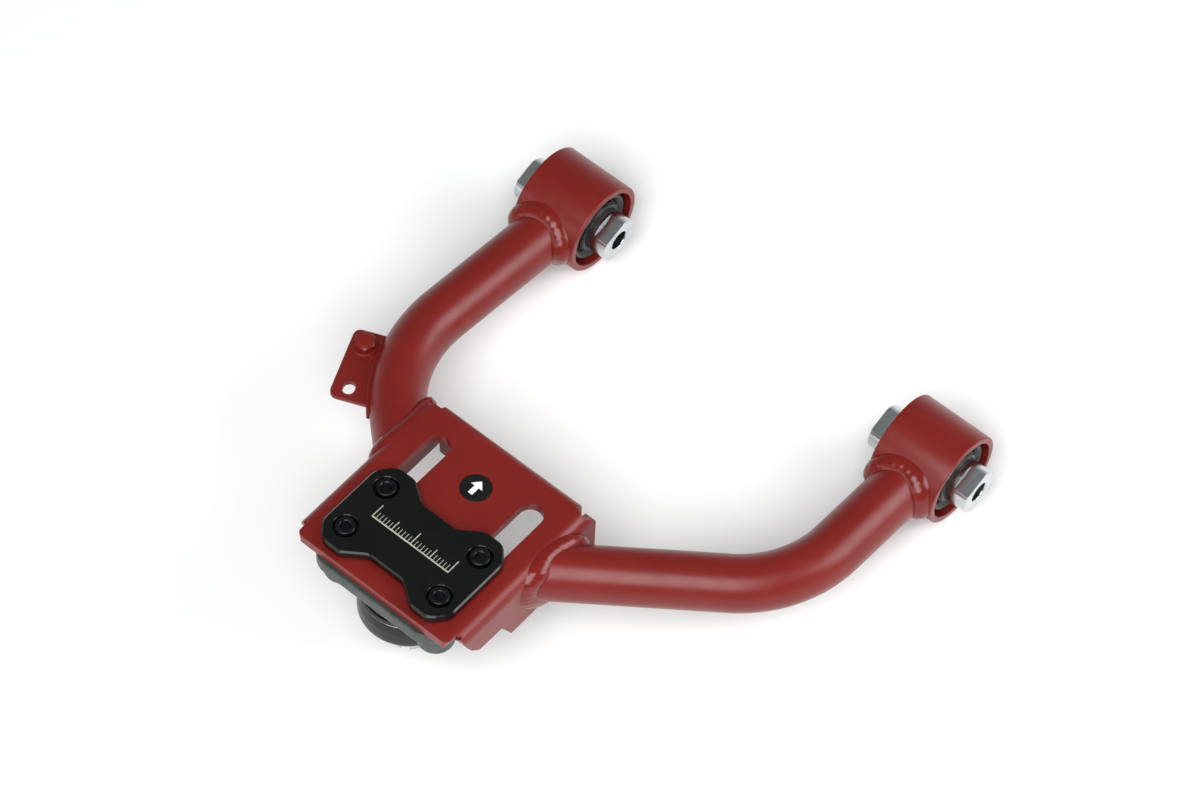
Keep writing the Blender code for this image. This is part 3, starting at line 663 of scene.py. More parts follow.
def make_weld(name, leg, gap, near, far, bead_shape, nodes, trim=None):
    """A rippled fillet bead around a leg, with a toe on the leg and one on the other surface."""
    size, ripples, lumps = bead_shape
    rows = []
    turns = ripples * 8
    across = 12
    for index in range(turns):
        angle = 2 * math.pi * index / turns
        point, away, out, normal = seam(leg, angle, gap, near, far)
        spread_out = (out - normal * out.dot(normal)).normalized()
        lump = 1 + lumps * (math.sin(3 * angle + 0.8) * 0.6 + math.sin(5 * angle + leg["x"]) * 0.4)
        leg_toe = point + away * size * lump - out * 0.5
        wall_toe = point + spread_out * size * lump
        reach, wall_normal = gap(wall_toe)
        wall_toe -= wall_normal * (reach + 0.5)
        crown = (leg_toe + wall_toe) / 2 + (out + normal).normalized() * size * BEAD_CROWN * lump
        row = []
        for step in range(across + 1):
            t = step / across
            phase = ripples * angle + 2.2 * (2 * t - 1) ** 2
            wave = 0.5 - 0.5 * math.cos(phase)
            body = leg_toe * (1 - t) ** 2 + crown * 2 * t * (1 - t) + wall_toe * t ** 2
            row.append(body - (out + normal).normalized() * wave * RIPPLE_DEPTH * math.sin(math.pi * t))
        row.append(point - (out + normal) * 1.2)
        rows.append(row)
    bead = ring_grid(name, rows)
    if trim is not None:
        cut(bead, trim)
    dress(bead, "weld_beads", "arm", nodes=nodes, angle=70.0)


def make_welds():
    for end, leg in LEGS:
        make_weld(
            end + "_housing_bead", leg, housing_gap, *HOUSING_SEARCH, HOUSING_BEAD, [end + "_housing_weld"])
        run = leg["straight"] + math.radians(leg["turn"]) * leg["bend_r"]
        trim = block(end + "_bead_trim", (-100, PLATE_REAR_Y + BEAD_PAST_PLATE, -60), (300, -60, 60))
        make_weld(
            end + "_plate_bead", leg, flange_gap(leg), run - 40.0, run + LEG_OVERRUN, PLATE_BEAD,
            [end + "_plate_weld"], trim)


# -------------------------------------------------------------- slotted plate

def stadium(centre_x, low_y, high_y, width):
    """An upright slot with round ends."""
    radius = width / 2
    outline = arc((centre_x, high_y - radius), radius, 0, 180, ROUND_END_STEPS)
    outline += arc((centre_x, low_y + radius), radius, 180, 360, ROUND_END_STEPS)
    return outline


def unrolled(height):
    """How far across the flat blank a height on a side flange lies from the plate's middle."""
    return FOLD_X + BEND_LENGTH + PLATE_TOP - BEND_R - height


def blank_outline():
    """The sheet as cut out flat: the front tongue, stepped side flanges and a rear flange with two depths."""
    side = [
        (48.0, PLATE_FRONT_Y, 8.0), (48.0, -234.8, 0.7), (50.2, -234.8, 0.7), (50.7, -236.0, 1.0),
        (unrolled(9.0), -235.0, 2.0), (unrolled(5.3), -233.4, 3.0), (unrolled(-1.0), -230.2, 5.0),
        (unrolled(-7.4), -224.5, 5.0), (unrolled(-7.8), -208.0, 3.0), (unrolled(PLATE_BOTTOM), -201.0, 1.5),
        (unrolled(PLATE_BOTTOM), PLATE_REAR_Y, 2.0), (unrolled(7.7), PLATE_REAR_Y, 6.0), (50.2, -146.0, 1.5),
        (43.2, -143.6, 1.0)]
    low = FOLD_Y + BEND_LENGTH + PLATE_TOP - BEND_R
    step = DEEP_REAR_FLANGE_X - PLATE_X
    corners = list(side)
    corners += [
        (43.2, low - REAR_FLANGE_BOTTOM, 1.5), (step + 1.0, low - REAR_FLANGE_BOTTOM, 3.0),
        (step - 1.0, low - PLATE_BOTTOM, 3.0), (-43.2, low - PLATE_BOTTOM, 1.5)]
    corners += [(-across, along, radius) for across, along, radius in reversed(side)]
    return [(PLATE_X + across, along) for across, along in softened(corners, 6)]


def score(obj, axis, places):
    """Cut an object's skin along flat planes, so that it can be bent there."""
    bm = bmesh.new()
    bm.from_mesh(obj.data)
    bm.transform(ARM_TO_ROW.inverted())
    normal = Vector((1, 0, 0)) if axis == "X" else Vector((0, 1, 0))
    for place in places:
        geometry = list(bm.verts) + list(bm.edges) + list(bm.faces)
        bmesh.ops.bisect_plane(bm, geom=geometry, dist=0.0005, plane_co=normal * place, plane_no=normal)
    bm.transform(ARM_TO_ROW)
    bm.to_mesh(obj.data)
    bm.free()


def rolled(beyond, depth):
    """Where the sheet goes when bent down: reach past the fold's start, and height."""
    radius = BEND_R - depth
    if beyond < BEND_LENGTH:
        angle = beyond / BEND_R
        return radius * math.sin(angle), PLATE_TOP - BEND_R + radius * math.cos(angle)
    return radius, PLATE_TOP - BEND_R - (beyond - BEND_LENGTH)


def fold(obj):
    """Bend the side flanges and the rear flange down from the flat blank."""
    to_arm = ARM_TO_ROW.inverted()
    for vert in obj.data.vertices:
        place = to_arm @ vert.co
        depth = PLATE_TOP - place.z
        across = place.x - PLATE_X
        if abs(across) > FOLD_X:
            reach, place.z = rolled(abs(across) - FOLD_X, depth)
            place.x = PLATE_X + math.copysign(FOLD_X + reach, across)
        elif place.y > FOLD_Y:
            reach, place.z = rolled(place.y - FOLD_Y, depth)
            place.y = FOLD_Y + reach
        vert.co = ARM_TO_ROW @ place


def make_plate():
    plate = slab("slotted_plate_skin", blank_outline(), PLATE_TOP - SHEET, PLATE_TOP)
    cutters = []
    for side in (-1, 1):
        slot_x = PLATE_X + side * SCREW_SPACING[0] / 2
        cutters.append(slab("slot_%d" % (side + 1), stadium(slot_x, *SLOT_ENDS, SLOT_WIDTH), 0.0, 40.0))
    cutters.append(drum("label_recess", (PLATE_X, LABEL_Y), LABEL_R + 0.15, PLATE_TOP - 0.7, 40.0))
    cut(plate, *cutters)
    ease(plate, 0.45, 2, 50.0)
    steps = [BEND_LENGTH * index / BEND_CUTS for index in range(BEND_CUTS + 1)]
    score(plate, "X", [PLATE_X + side * (FOLD_X + step) for side in (-1, 1) for step in steps])
    score(plate, "Y", [FOLD_Y + step for step in steps])
    fold(plate)
    dress(plate, "red_paint", "arm", nodes=["slotted_plate"], flat_faced=True)


def make_label():
    """A black disc with a plain white arrow, flush in the plate's top."""
    corners = [(0, LABEL_TOP, 0), (LABEL_R, LABEL_TOP, 0.15), (LABEL_R, LABEL_LOW, 0), (0, LABEL_LOW, 0)]
    profile = softened(corners, 3)
    disc = turned("label_disc", profile, (PLATE_X, LABEL_Y, 0))
    dress(disc, "side_label", "arm", nodes=["side_label"])
    shape = [
        (0, 4.6, 0.2), (-3.6, 0.6, 0.2), (-1.3, 0.6, 0), (-1.3, -4.4, 0.2), (1.3, -4.4, 0.2), (1.3, 0.6, 0),
        (3.6, 0.6, 0.2)]
    outline = [(PLATE_X + x, LABEL_Y + y) for x, y in softened(shape, 3)]
    arrow = slab("label_arrow", outline, *ARROW_HEIGHTS)
    dress(arrow, "white_print", "arm")


# ------------------------------------------------------------------- bracket

def bracket_point(along, across):
    turn = math.radians(BRACKET_TURN)
    x = BRACKET_CORNER[0] + along * math.sin(turn) + across * math.cos(turn)
    y = BRACKET_CORNER[1] - along * math.cos(turn) + across * math.sin(turn)
    return x, y


def make_bracket():
    half = BRACKET_SHEET / 2
    corners = [
        (0, 0, 4.5), (BRACKET_LENGTH, 0, 4.5), (BRACKET_LENGTH, BRACKET_DEPTH, 0), (0, BRACKET_DEPTH, 0)]
    outline = [bracket_point(along, across) for along, across in softened(corners, 8)]
    plate = slab("hose_bracket_sheet", outline, -half, half)
    ease(plate, 0.4, 2, 50.0)
    rows = []
    for step in range(31):
        distance = 60.0 + 4.0 * step
        angles = [2 * math.pi * index / 48 for index in range(48)]
        rows.append([skin_point(REAR_LEG, distance, angle, TUBE_R - 0.6)[0] for angle in angles])
    tube = bar_grid("bracket_tube_cut", rows)
    hole = [bracket_point(along, across) for across, along in stadium(*BRACKET_HOLE)]
    cut(plate, tube, slab("bracket_slot_cut", hole, -10, 10))
    dress(plate, "red_paint", "arm", nodes=["hose_bracket"], flat_faced=True)
    make_bracket_nut(half)
    make_bracket_bead()


def make_bracket_nut(low):
    """A hexagonal clinch nut, domed at its corners and painted over."""
    centre = bracket_point(*BRACKET_NUT)
    outline = circle(centre, BRACKET_NUT_R, 6, 12)
    nut = slab("bracket_nut_skin", outline, low - 0.2, low + 5.3)
    dome = [
        (0, low + 5.3), (3.4, low + 5.2), (5.2, low + 4.6), (6.4, low + 3.4), (6.4, low - 1), (0, low - 1)]
    keep(nut, turned("nut_dome", dome, (*centre, 0), "Z", 64))
    skirt = softened([(0, low + 0.9, 0), (6.6, low + 0.8, 0.6), (7.2, low - 0.3, 0), (0, low - 0.3, 0)], 4)
    join(nut, turned("nut_skirt", skirt, (*centre, 0), "Z", 64))
    dress(nut, "red_paint", "arm", nodes=["bracket_nut"], flat_faced=True)


def make_bracket_bead():
    """Short fillet beads where the bracket meets the leg, above and below."""
    for name, level in (("upper", 1), ("lower", -1)):
        points = []
        for index in range(25):
            distance = 122.5 + 1.5 * index
            height = level * (BRACKET_SHEET / 2 + 0.4)
            angle = math.pi - math.asin(height / TUBE_R)
            points.append(skin_point(REAR_LEG, distance, angle, TUBE_R + 0.1)[0])
        bead = swept("bracket_bead_" + name, points, 1.5, 12)
        dress(bead, "weld_beads", "arm", angle=70.0)


# ------------------------------------------------------------------ bushings

def make_housing(end, x):
    edge = 0.9
    corners = [
        (HOUSING_R, HOUSING_HALF, edge), (HOUSING_R, -HOUSING_HALF, edge),
        (HOUSING_BORE_R, -HOUSING_HALF, 0.5), (HOUSING_BORE_R, HOUSING_HALF, 0.5)]
    shell = turned(end + "_housing", softened(corners, 5), (x, 0, 0), "X", 144)
    dress(shell, "red_paint", "arm", nodes=[end + "_bushing_housing"])


def facing_profile(profile, facing):
    return [(radius, facing * height) for radius, height in profile]


def make_sleeve(end, x, side, facing):
    """Half of the bolt sleeve: a shank in the ball and a shoulder with two spanner flats."""
    corners = [
        (SLEEVE_R, SLEEVE_HALF, 0.7), (SLEEVE_R, SHOULDER_X, 0.3), (SHANK_R, SHOULDER_X, 0),
        (SHANK_R, 0.15, 0), (BORE_R, 0.15, 0), (BORE_R, SLEEVE_HALF, 0.9)]
    profile = facing_profile(softened(corners, 4), facing)
    sleeve = turned("%s_sleeve_%s" % (end, side), profile, (x, 0, 0), "X", 96)
    ends = sorted((x + facing * (SLEEVE_HALF - FLAT_LENGTH), x + facing * (SLEEVE_HALF + 5)))
    turn = Matrix.Rotation(math.radians(FLAT_TURN), 4, "X")
    flats = []
    for level in (-1, 1):
        heights = sorted((level * FLAT_HEIGHT, level * 20.0))
        name = "%s_flat_%s_%d" % (end, side, level + 1)
        flats.append(block(name, (ends[0], -20, heights[0]), (ends[1], 20, heights[1]), turn))
    cut(sleeve, *flats)
    dress(sleeve, "bright_steel", end + "_sleeve", nodes=["%s_spacer_%s" % (end, side)], flat_faced=True)


def make_dust_boot(end, x, side, facing):
    """Rubber seal: a rolled outer bead, a valley and a lip that rides on the sleeve."""
    corners = [
        (20.9, 8.9, 0.3), (20.9, 14.2, 2.6), (18.6, 17.8, 3.4), (15.4, 15.2, 1.6), (14.9, 14.0, 0.5),
        (14.3, 14.2, 0.5), (13.9, 17.2, 1.2), (12.1, 18.0, 0.4), (12.1, 14.6, 0.5), (13.2, 12.2, 0.6),
        (15.6, 11.2, 0.8), (18.2, 12.8, 1.0), (18.6, 8.9, 0.3)]
    profile = facing_profile(softened(corners, 8), facing)
    boot = turned("%s_dust_boot_skin_%s" % (end, side), profile, (x, 0, 0), "X", 96)
    dress(boot, "black_rubber", None, nodes=["%s_dust_boot_%s" % (end, side)], angle=50.0)
    start, finish = [ARM_TO_ROW @ Vector((x + facing * reach, 0, 0)) for reach in DUST_BOOT_BLEND]
    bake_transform(boot)
    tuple(start)
    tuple(finish)


def make_boot_band(end, x, side, facing):
    points = [(x + facing * GARTER_X, a, b) for a, b in circle((0, 0), GARTER_R, HOOP_STEPS)]
    band = swept("%s_garter_%s" % (end, side), points, 0.4, 10, closed=True)
    dress(band, "black_rubber", end + "_boot_bands", nodes=["%s_boot_band_%s" % (end, side)])


def make_snap_ring(end, x, side, facing):
    """An internal circlip with two eyed lugs at its gap."""
    outline = arc((0, 0), CIRCLIP_OUTER_R, 90 + CIRCLIP_GAP, 450 - CIRCLIP_GAP, 90)
    outline += arc((0, 0), CIRCLIP_INNER_R, 450 - CIRCLIP_GAP, 90 + CIRCLIP_GAP, 90)
    low, high = sorted((facing * CIRCLIP_REACH, facing * (CIRCLIP_REACH + CIRCLIP_THICK)))
    points = [(x + low, a, b) for a, b in outline]
    ring = extruded("%s_circlip_%s" % (end, side), points, (high - low, 0, 0))
    for level in (-1, 1):
        angle = math.radians(90 + level * (CIRCLIP_GAP - 2))
        centre = (x, CIRCLIP_LUGS_R * math.cos(angle), CIRCLIP_LUGS_R * math.sin(angle))
        join(ring, turned("lug", [(0, high), (2.4, high), (2.4, low), (0, low)], centre, "X", 32))
        eye = [(0, high + 2), (1.0, high + 2), (1.0, low - 2), (0, low - 2)]
        cut(ring, turned("eye", eye, centre, "X", 24))
    ease(ring, 0.15, 2, 50.0)
    dress(ring, "spring_steel", "arm", nodes=["%s_snap_ring_%s" % (end, side)])


def make_bushings():
    for end, leg in LEGS:
        make_housing(end, leg["x"])
        for side, facing in (("aft", -1), ("fore", 1)):
            make_sleeve(end, leg["x"], side, facing)
            make_dust_boot(end, leg["x"], side, facing)
            make_boot_band(end, leg["x"], side, facing)
            make_snap_ring(end, leg["x"], side, facing)


# ---------------------------------------------------------- clamp and screws

def screw_spots():
    spots = []
    for side in (-1, 1):
        for row in (1, -1):
            spots.append((PLATE_X + side * SCREW_SPACING[0] / 2, CLAMP_Y + row * SCREW_SPACING[1] / 2))
    return spots


def clamp_outline():
    """Four chamfered lobes with a waist on both long sides."""
    half_x, half_y = CLAMP_HALF
    quarter = [
        (half_x, half_y - 8.6, 9.0), (half_x - 7.0, half_y, 9.0), (22.3, half_y, 8.5),
        (10.7, CLAMP_WAIST, 8.0)]
    corners = list(quarter)
    corners += [(-x, y, radius) for x, y, radius in reversed(quarter)]
    corners += [(-x, -y, radius) for x, y, radius in quarter]
    corners += [(x, -y, radius) for x, y, radius in reversed(quarter)]
    return [(PLATE_X + x, CLAMP_Y + y) for x, y in softened(corners, 8)]


def make_clamp():
    clamp = slab("clamp_plate_skin", clamp_outline(), CLAMP_LOW, CLAMP_TOP)
    ease(clamp, 0.8, 1, 60.0)
    cutters = []
    for index, (x, y) in enumerate(screw_spots()):
        sink = softened([
            (0, CLAMP_TOP + 2, 0), (COUNTERBORE_R + 2.5, CLAMP_TOP + 2, 0),
            (COUNTERBORE_R, CLAMP_TOP - 0.5, 0.2),
            (COUNTERBORE_R, CLAMP_LOW + 1.5, 0), (SCREW_R + 0.3, CLAMP_LOW + 1.5, 0),
            (SCREW_R + 0.3, CLAMP_LOW - 2, 0), (0, CLAMP_LOW - 2, 0)], 3)
        cutters.append(turned("sink_%d" % index, sink, (x, y, 0), "Z", 64))
    cut(clamp, *cutters)
    dress(clamp, "black_anodised", "carriage", nodes=["clamp_plate"], flat_faced=True)


def make_scale_marks():
    """A plain setting scale along the clamp plate, as thin filled marks."""
    bm = bmesh.new()
    bottom, top = CLAMP_TOP - 0.18, CLAMP_TOP + 0.04
    for index in range(SCALE_STEPS + 1):
        x = PLATE_X + SCALE_PITCH * (index - SCALE_STEPS / 2)
        length = 7.5 if index % 12 == 0 else (5.5 if index % 6 == 0 else 3.5)
        half = 0.275 if index % 6 == 0 else 0.16
        add_box(bm, (x - half, SCALE_Y, bottom), (x + half, SCALE_Y + length, top))
    reach = SCALE_PITCH * SCALE_STEPS / 2 + 0.3
    add_box(bm, (PLATE_X - reach, SCALE_Y - 0.8, bottom), (PLATE_X + reach, SCALE_Y, top))
    dress(solid("clamp_scale_marks", bm), "etched_marks", "carriage")


def make_screws():
    seat, top = SCREW_SEAT, SCREW_TOP
    for number, (x, y) in enumerate(screw_spots(), start=1):
        corners = [
            (0, top, 0), (SCREW_HEAD_R, top, 0.9), (SCREW_HEAD_R, seat, 0.3), (SCREW_R, seat, 0),
            (SCREW_R, -10.0, 0.6), (0, -10.0, 0)]
        screw = turned("socket_screw_%d" % number, softened(corners, 4), (x, y, 0), "Z", 64)
        hexagon = circle((x, y), HEX_R, 6, 15 + 20 * number)
        socket = slab("socket", hexagon, top - HEX_DEPTH, top + 4)
        mouth = turned(
            "mouth", [(0, top + 1), (4.2, top + 1), (2.55, top - 0.65), (0, top - 0.65)], (x, y, 0), "Z", 48)
        cut(screw, socket, mouth)
        dress(screw, "black_screws", "carriage", nodes=["clamp_screw_%d" % number], flat_faced=True)


# ---------------------------------------------------------------- ball joint

def flange_outline():
    """A rectangle with round corners, centred on the ball joint's axis."""
    inner_x = FLANGE_HALF[0] - FLANGE_CORNER_R
    inner_y = FLANGE_HALF[1] - FLANGE_CORNER_R
    outline = []
    for index, (x, y) in enumerate(((1, 1), (-1, 1), (-1, -1), (1, -1))):
        centre = (PLATE_X + x * inner_x, JOINT_Y + y * inner_y)
        outline += arc(centre, FLANGE_CORNER_R, 90 * index, 90 * index + 90, 14)
    return outline


def make_joint_housing():
    """Flange under the sheet, four screw bosses, slot guides and the ball's cup."""
    housing = slab("ball_joint_body", flange_outline(), FLANGE_BOTTOM, FLANGE_TOP)
    ease(housing, 0.9, 3, 60.0)
    cup = turned(
        "cup", softened([(0, 5, 0), (CUP_COLLAR_R, 5, 0), (CUP_COLLAR_R, CUP_COLLAR_BOTTOM, 0.8),
                         (CUP_R, CUP_COLLAR_BOTTOM, 0.4), (CUP_R, CUP_BOTTOM, 1.2), (0, CUP_BOTTOM, 0)], 5),
        (PLATE_X, JOINT_Y, 0))
    join(housing, cup)
    for index, (x, y) in enumerate(screw_spots()):
        corners = [(0, 5, 0), (BOSS_R, 5, 0), (BOSS_R - 0.4, BOSS_BOTTOM, 1.8), (0, BOSS_BOTTOM, 0)]
        boss = turned("boss_%d" % index, softened(corners, 6), (x, y + JOINT_Y - CLAMP_Y, 0), "Z", 64)
        guide = drum("guide_%d" % index, (x, y), SLOT_WIDTH / 2 - 0.3, FLANGE_TOP - 1, PLATE_TOP - 0.3)
        join(housing, boss, guide)
    top = PLATE_TOP - SHEET
    profile = [
        (0, top + 2), (16.8, top + 2), (16.8, CUP_BOTTOM + 2.4), (13.0, CUP_BOTTOM + 2.4), (11.8, CUP_BOTTOM),
        (11.8, CUP_BOTTOM - 2), (0, CUP_BOTTOM - 2)]
    cut(housing, turned("joint_bore", profile, (PLATE_X, JOINT_Y, 0)))
    for index, (x, y) in enumerate(screw_spots()):
        cut(housing, drum("boss_hole_%d" % index, (x, y), SCREW_R + 0.3, -30, 30, 32))
    dress(housing, "ball_joint_coating", "carriage", nodes=["ball_joint_housing"], flat_faced=True)


def make_rubber_boot():
    """The joint's boot in two moulded parts that meet at its widest ring."""
    centre = (PLATE_X, JOINT_Y, 0)
    upper = [
        (24.0, -13.0, 0.4), (24.0, -14.4, 0.4), (23.6, -15.4, 0.3), (24.3, -16.6, 0.8), (25.2, -21.0, 3.0),
        (BOOT_R, -25.8, 2.0), (BOOT_R, BOOT_WAIST_Z - 0.8, 0.5), (24.4, BOOT_WAIST_Z - 1.2, 0.4),
        (23.6, -25.5, 1.5), (22.6, -20.0, 2.0), (CUP_R + 0.15, -17.2, 0.8), (CUP_R + 0.15, -13.0, 0.3)]
    skin = turned("boot_upper", softened(upper, 6), centre, "Z", 128)
    dress(skin, "black_rubber", None, nodes=["ball_joint_boot"], angle=50.0)
    points = [ARM_TO_ROW @ Vector((PLATE_X, JOINT_Y, height)) for height in BOOT_UPPER_BLEND]
    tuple(points[0])
    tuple(points[1])
    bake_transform(skin)
    lower = [
        (BOOT_R - 0.5, BOOT_WAIST_Z - 0.3, 0.4), (BOOT_R - 0.9, BOOT_WAIST_Z - 2.0, 1.6), (21.5, -33.2, 2.5),
        (14.0, -34.8, 2.0), (12.2, -36.4, 0.8), (9.6, -36.2, 0.4), (9.6, -33.2, 0.4), (13.4, -32.6, 1.5),
        (20.6, -31.0, 2.0), (23.2, BOOT_WAIST_Z - 0.3, 0.4)]
    skirt = turned("boot_lower", softened(lower, 6), centre, "Z", 128)
    dress(skirt, "black_rubber", None, nodes=["ball_joint_boot"], angle=50.0)
    points = [ARM_TO_ROW @ Vector((PLATE_X, JOINT_Y, height)) for height in BOOT_LOWER_BLEND]
    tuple(points[0])
    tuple(points[1])
    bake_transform(skirt)


def hoop(name, radius, height, wire):
    points = [(x, y, height) for x, y in circle((PLATE_X, JOINT_Y), radius, HOOP_STEPS)]
    return swept(name, points, wire, 10, closed=True)


def make_boot_bands():
    dress(hoop("boot_top_hoop", 24.0, -15.4, 0.4), "spring_steel", "carriage", nodes=["boot_top_band"])
    dress(hoop("boot_low_hoop", 12.4, -35.0, 0.6), "spring_steel", "boot_lip", nodes=["boot_low_band"])


def make_stud():
    """Ball, neck, taper and a rolled thread, with a cross hole for the pin."""
    ball = []
    for index in range(25):
        height = BALL_R * 0.97 + (-11.26 - BALL_R * 0.97) * index / 24
        ball.append((math.sqrt(BALL_R ** 2 - height ** 2), BALL_Z + height))
    profile = [(0, BALL_Z + BALL_R * 0.97)] + ball
    profile += [
        (6.4, -22.5), (6.6, -27.0), (9.4, -29.5), (9.4, -35.5), (8.6, -36.1), (7.4, -44.0), (6.6, -44.6),
        (0, -44.6)]
    stud = turned("stud_forging", profile, (PLATE_X, JOINT_Y, 0), "Z", 96)
    rows = []
    steps = 10
    sides = 48
    count = int((THREAD_TOP - STUD_TIP_Z) / THREAD_PITCH * steps)
    for index in range(count + 1):
        height = STUD_TIP_Z + index * THREAD_PITCH / steps
        tip = min(1.0, (height - STUD_TIP_Z) / THREAD_TAPER)
        row = []
        for side in range(sides):
            angle = 2 * math.pi * side / sides
            phase = (height / THREAD_PITCH - side / sides) % 1.0
            depth = THREAD_DEPTH * (1 - abs(2 * phase - 1))
            radius = THREAD_R - depth - 1.4 * (1 - tip)
            row.append((PLATE_X + radius * math.cos(angle), JOINT_Y + radius * math.sin(angle), height))
        rows.append(row)
    thread = bar_grid("stud_thread", rows)
    bm = bmesh.new()
    spot = Matrix.Translation((PLATE_X, JOINT_Y, PIN_Z)) @ Matrix.Rotation(math.pi / 2, 4, "Y")
    bmesh.ops.create_cone(
        bm, cap_ends=True, segments=24, radius1=PIN_HOLE_R, radius2=PIN_HOLE_R, depth=40, matrix=spot)
    cut(thread, solid("pin_hole", bm))
    dress(stud, "bright_steel", "stud", nodes=["ball_stud"])
    dress(thread, "zinc_plate", "stud", nodes=["ball_stud"], angle=60.0)


def make_castle_nut():
    centre = (PLATE_X, JOINT_Y)
    nut = slab("castle_nut_skin", circle(centre, NUT_R, 6), NUT_BOTTOM, NUT_TOP)
    chamfer = [(0, -44.0), (11.6, -44.0), (13.2, -45.4), (13.2, -50.6), (11.0, -52.0), (0, -52.0)]
    keep(nut, turned("nut_chamfer", chamfer, (*centre, 0)))
    crown = softened([(0, -50, 0), (10.6, -50, 0), (10.6, -57.0, 0.8), (0, -57.0, 0)], 4)
    join(nut, turned("crown", crown, (*centre, 0)))
    cut(nut, drum("nut_bore", centre, 7.15, -70, -30))
    for index in range(3):
        move = Matrix.Translation((*centre, NUT_SLOT_Z)) @ Matrix.Rotation(math.radians(60 * index), 4, "Z")
        cut(nut, block("nut_slot_%d" % index, (-20, -2, -4.8), (20, 2, 4.8), move))
    dress(nut, "zinc_plate", "stud", nodes=["castle_nut"], flat_faced=True)


def make_cotter_pin():
    """Split pin: an eye at one side, two half shanks and two tails bent apart."""
    eye = [(x, JOINT_Y, z) for x, z in arc((PLATE_X + PIN_EYE_X, PIN_Z), PIN_EYE_R, 18, 342, 24)]
    for index, offset in enumerate((0.62, -0.62)):
        legs = [(PLATE_X - 14.2 + 27.0 * step / 10, JOINT_Y, PIN_Z + offset) for step in range(11)]
        rise = 1 if index == 0 else -1
        for step in range(1, 9):
            angle = math.radians(11 * step)
            legs.append((
                PLATE_X + 12.8 + PIN_BEND_R * math.sin(angle), JOINT_Y,
                PIN_Z + offset + rise * PIN_BEND_R * (1 - math.cos(angle))))
        legs.append((legs[-1][0], JOINT_Y, legs[-1][2] + rise * (3.0 if rise > 0 else 0.8)))
        leg = swept("pin_leg_%d" % index, legs, PIN_WIRE, 12)
        dress(leg, "zinc_plate", "stud", nodes=["cotter_pin"])
    dress(swept("pin_eye", eye, PIN_WIRE, 12), "zinc_plate", "stud", nodes=["cotter_pin"])


def dress_hidden_nodes():
    """Materials for the CAD pieces that stay as they are."""
    for name, look in (
            ("ball_seat_lower", "bearing_nylon"), ("ball_seat_upper", "bearing_nylon"),
            ("preload_spring", "spring_steel"), ("ball_joint_cap", "ball_joint_coating"),
            ("rear_bushing_race", "bright_steel"), ("front_bushing_race", "bright_steel"),
            ("rear_bushing_ball", "bright_steel"), ("front_bushing_ball", "bright_steel")):
        mesh = frame["nodes"][name].data
        mesh.materials.clear()
        mesh.materials.append(LOOKS[look])


# ------------------------------------------------------------ floor and light

def make_floor():
    bm = bmesh.new()
    bmesh.ops.create_grid(bm, x_segments=1, y_segments=1, size=6.0)
    mesh = bpy.data.meshes.new("floor")
    bm.to_mesh(mesh)
    bm.free()
    floor = bpy.data.objects.new("floor", mesh)
    floor.location.z = -0.0004
    bpy.context.scene.collection.objects.link(floor)
    look, shader = new_look("pale_floor")
    tone = shades(look, noise(look, 3.0, 2.0), (0.86, 0.865, 0.86), (0.88, 0.885, 0.88))
    link(look, tone, shader, "Base Color")
    shader.inputs["Roughness"].default_value = 0.6
    shader.inputs["Specular IOR Level"].default_value = 0.2
    mesh.materials.append(look)


def area_light(name, place, aim, size, power):
    lamp = bpy.data.lights.new(name, "AREA")
    lamp.shape = "RECTANGLE"
    lamp.size, lamp.size_y = size
    lamp.energy = power
    obj = bpy.data.objects.new(name, lamp)
    obj.location = place
    obj.rotation_mode = "QUATERNION"
    obj.rotation_quaternion = (Vector(aim) - Vector(place)).to_track_quat("-Z", "Y")
    bpy.context.scene.collection.objects.link(obj)


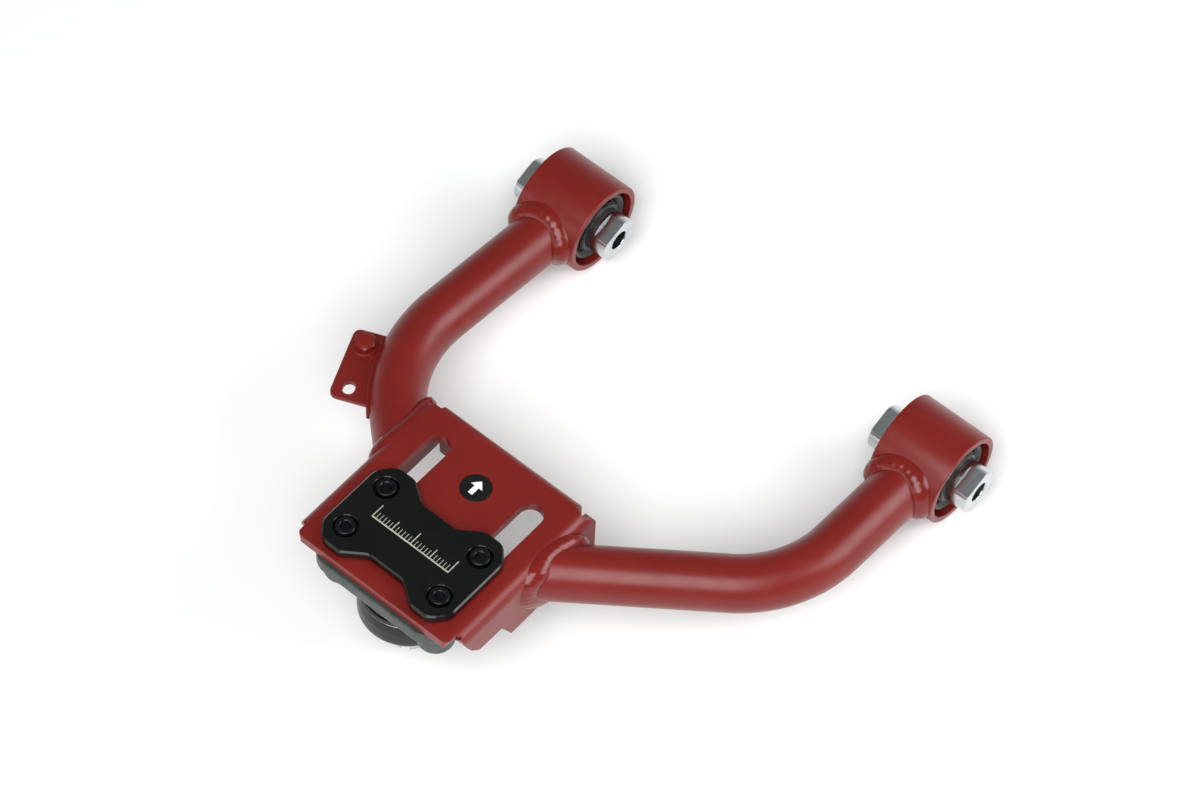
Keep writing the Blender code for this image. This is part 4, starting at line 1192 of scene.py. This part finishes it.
def make_studio():
    """A dim room over a paler horizon, lit from overhead, with a lamp behind and a weak one in front."""
    world = bpy.data.worlds.new("studio")
    bpy.context.scene.world = world
    world.use_nodes = True
    tree = world.node_tree
    place = tree.nodes.new("ShaderNodeTexCoord")
    split = tree.nodes.new("ShaderNodeSeparateXYZ")
    ramp = tree.nodes.new("ShaderNodeValToRGB")
    tree.links.new(place.outputs["Generated"], split.inputs["Vector"])
    tree.links.new(split.outputs["Z"], ramp.inputs["Fac"])
    ramp.color_ramp.elements[0].position = 0.06
    ramp.color_ramp.elements[0].color = (0.60, 0.61, 0.62, 1.0)
    ramp.color_ramp.elements[1].position = 0.40
    ramp.color_ramp.elements[1].color = (0.22, 0.23, 0.23, 1.0)
    tree.links.new(ramp.outputs["Color"], tree.nodes["Background"].inputs["Color"])
    tree.nodes["Background"].inputs["Strength"].default_value = 1.0
    area_light("back", (1.22, 0.95, 0.90), (0, 0, 0.04), (1.2, 1.0), 21.0)
    area_light("overhead", (0.50, -0.90, 1.75), (0, 0, 0.0), (1.5, 1.5), 44.0)
    area_light("front", (-0.55, -1.60, 0.85), (0, 0, 0.04), (1.7, 0.6), 5.0)
    bpy.context.scene.view_settings.view_transform = "Standard"


# --------------------------------------------------------------------- camera

AIM = Vector((-0.03240, 0.03242, 0.03))
DISTANCE = 2.29150
AZIMUTH = 48.796
ELEVATION = 62.723
ROLL = -9.803
LENS = 139.216


def make_camera():
    azimuth, elevation = math.radians(AZIMUTH), math.radians(ELEVATION)
    level = math.cos(elevation)
    back = Vector((math.sin(azimuth) * level, -math.cos(azimuth) * level, math.sin(elevation)))
    camera = bpy.data.cameras.new("camera")
    camera.lens = LENS
    camera.clip_start = 0.05
    obj = bpy.data.objects.new("camera", camera)
    obj.location = AIM + back * DISTANCE
    upright = (-back).to_track_quat("-Z", "Y")
    obj.rotation_mode = "QUATERNION"
    obj.rotation_quaternion = upright @ Matrix.Rotation(math.radians(ROLL), 4, "Z").to_quaternion()
    bpy.context.scene.collection.objects.link(obj)
    bpy.context.scene.camera = obj


# ---------------------------------------------------------------------- build

make_camera()
make_plate()
for end_name, leg_data in LEGS:
    make_leg(end_name, leg_data)
make_welds()
make_label()
make_bracket()
make_bushings()
make_clamp()
make_scale_marks()
make_screws()
make_joint_housing()
make_rubber_boot()
make_boot_bands()
make_stud()
make_castle_nut()
make_cotter_pin()
dress_hidden_nodes()
make_floor()
make_studio()
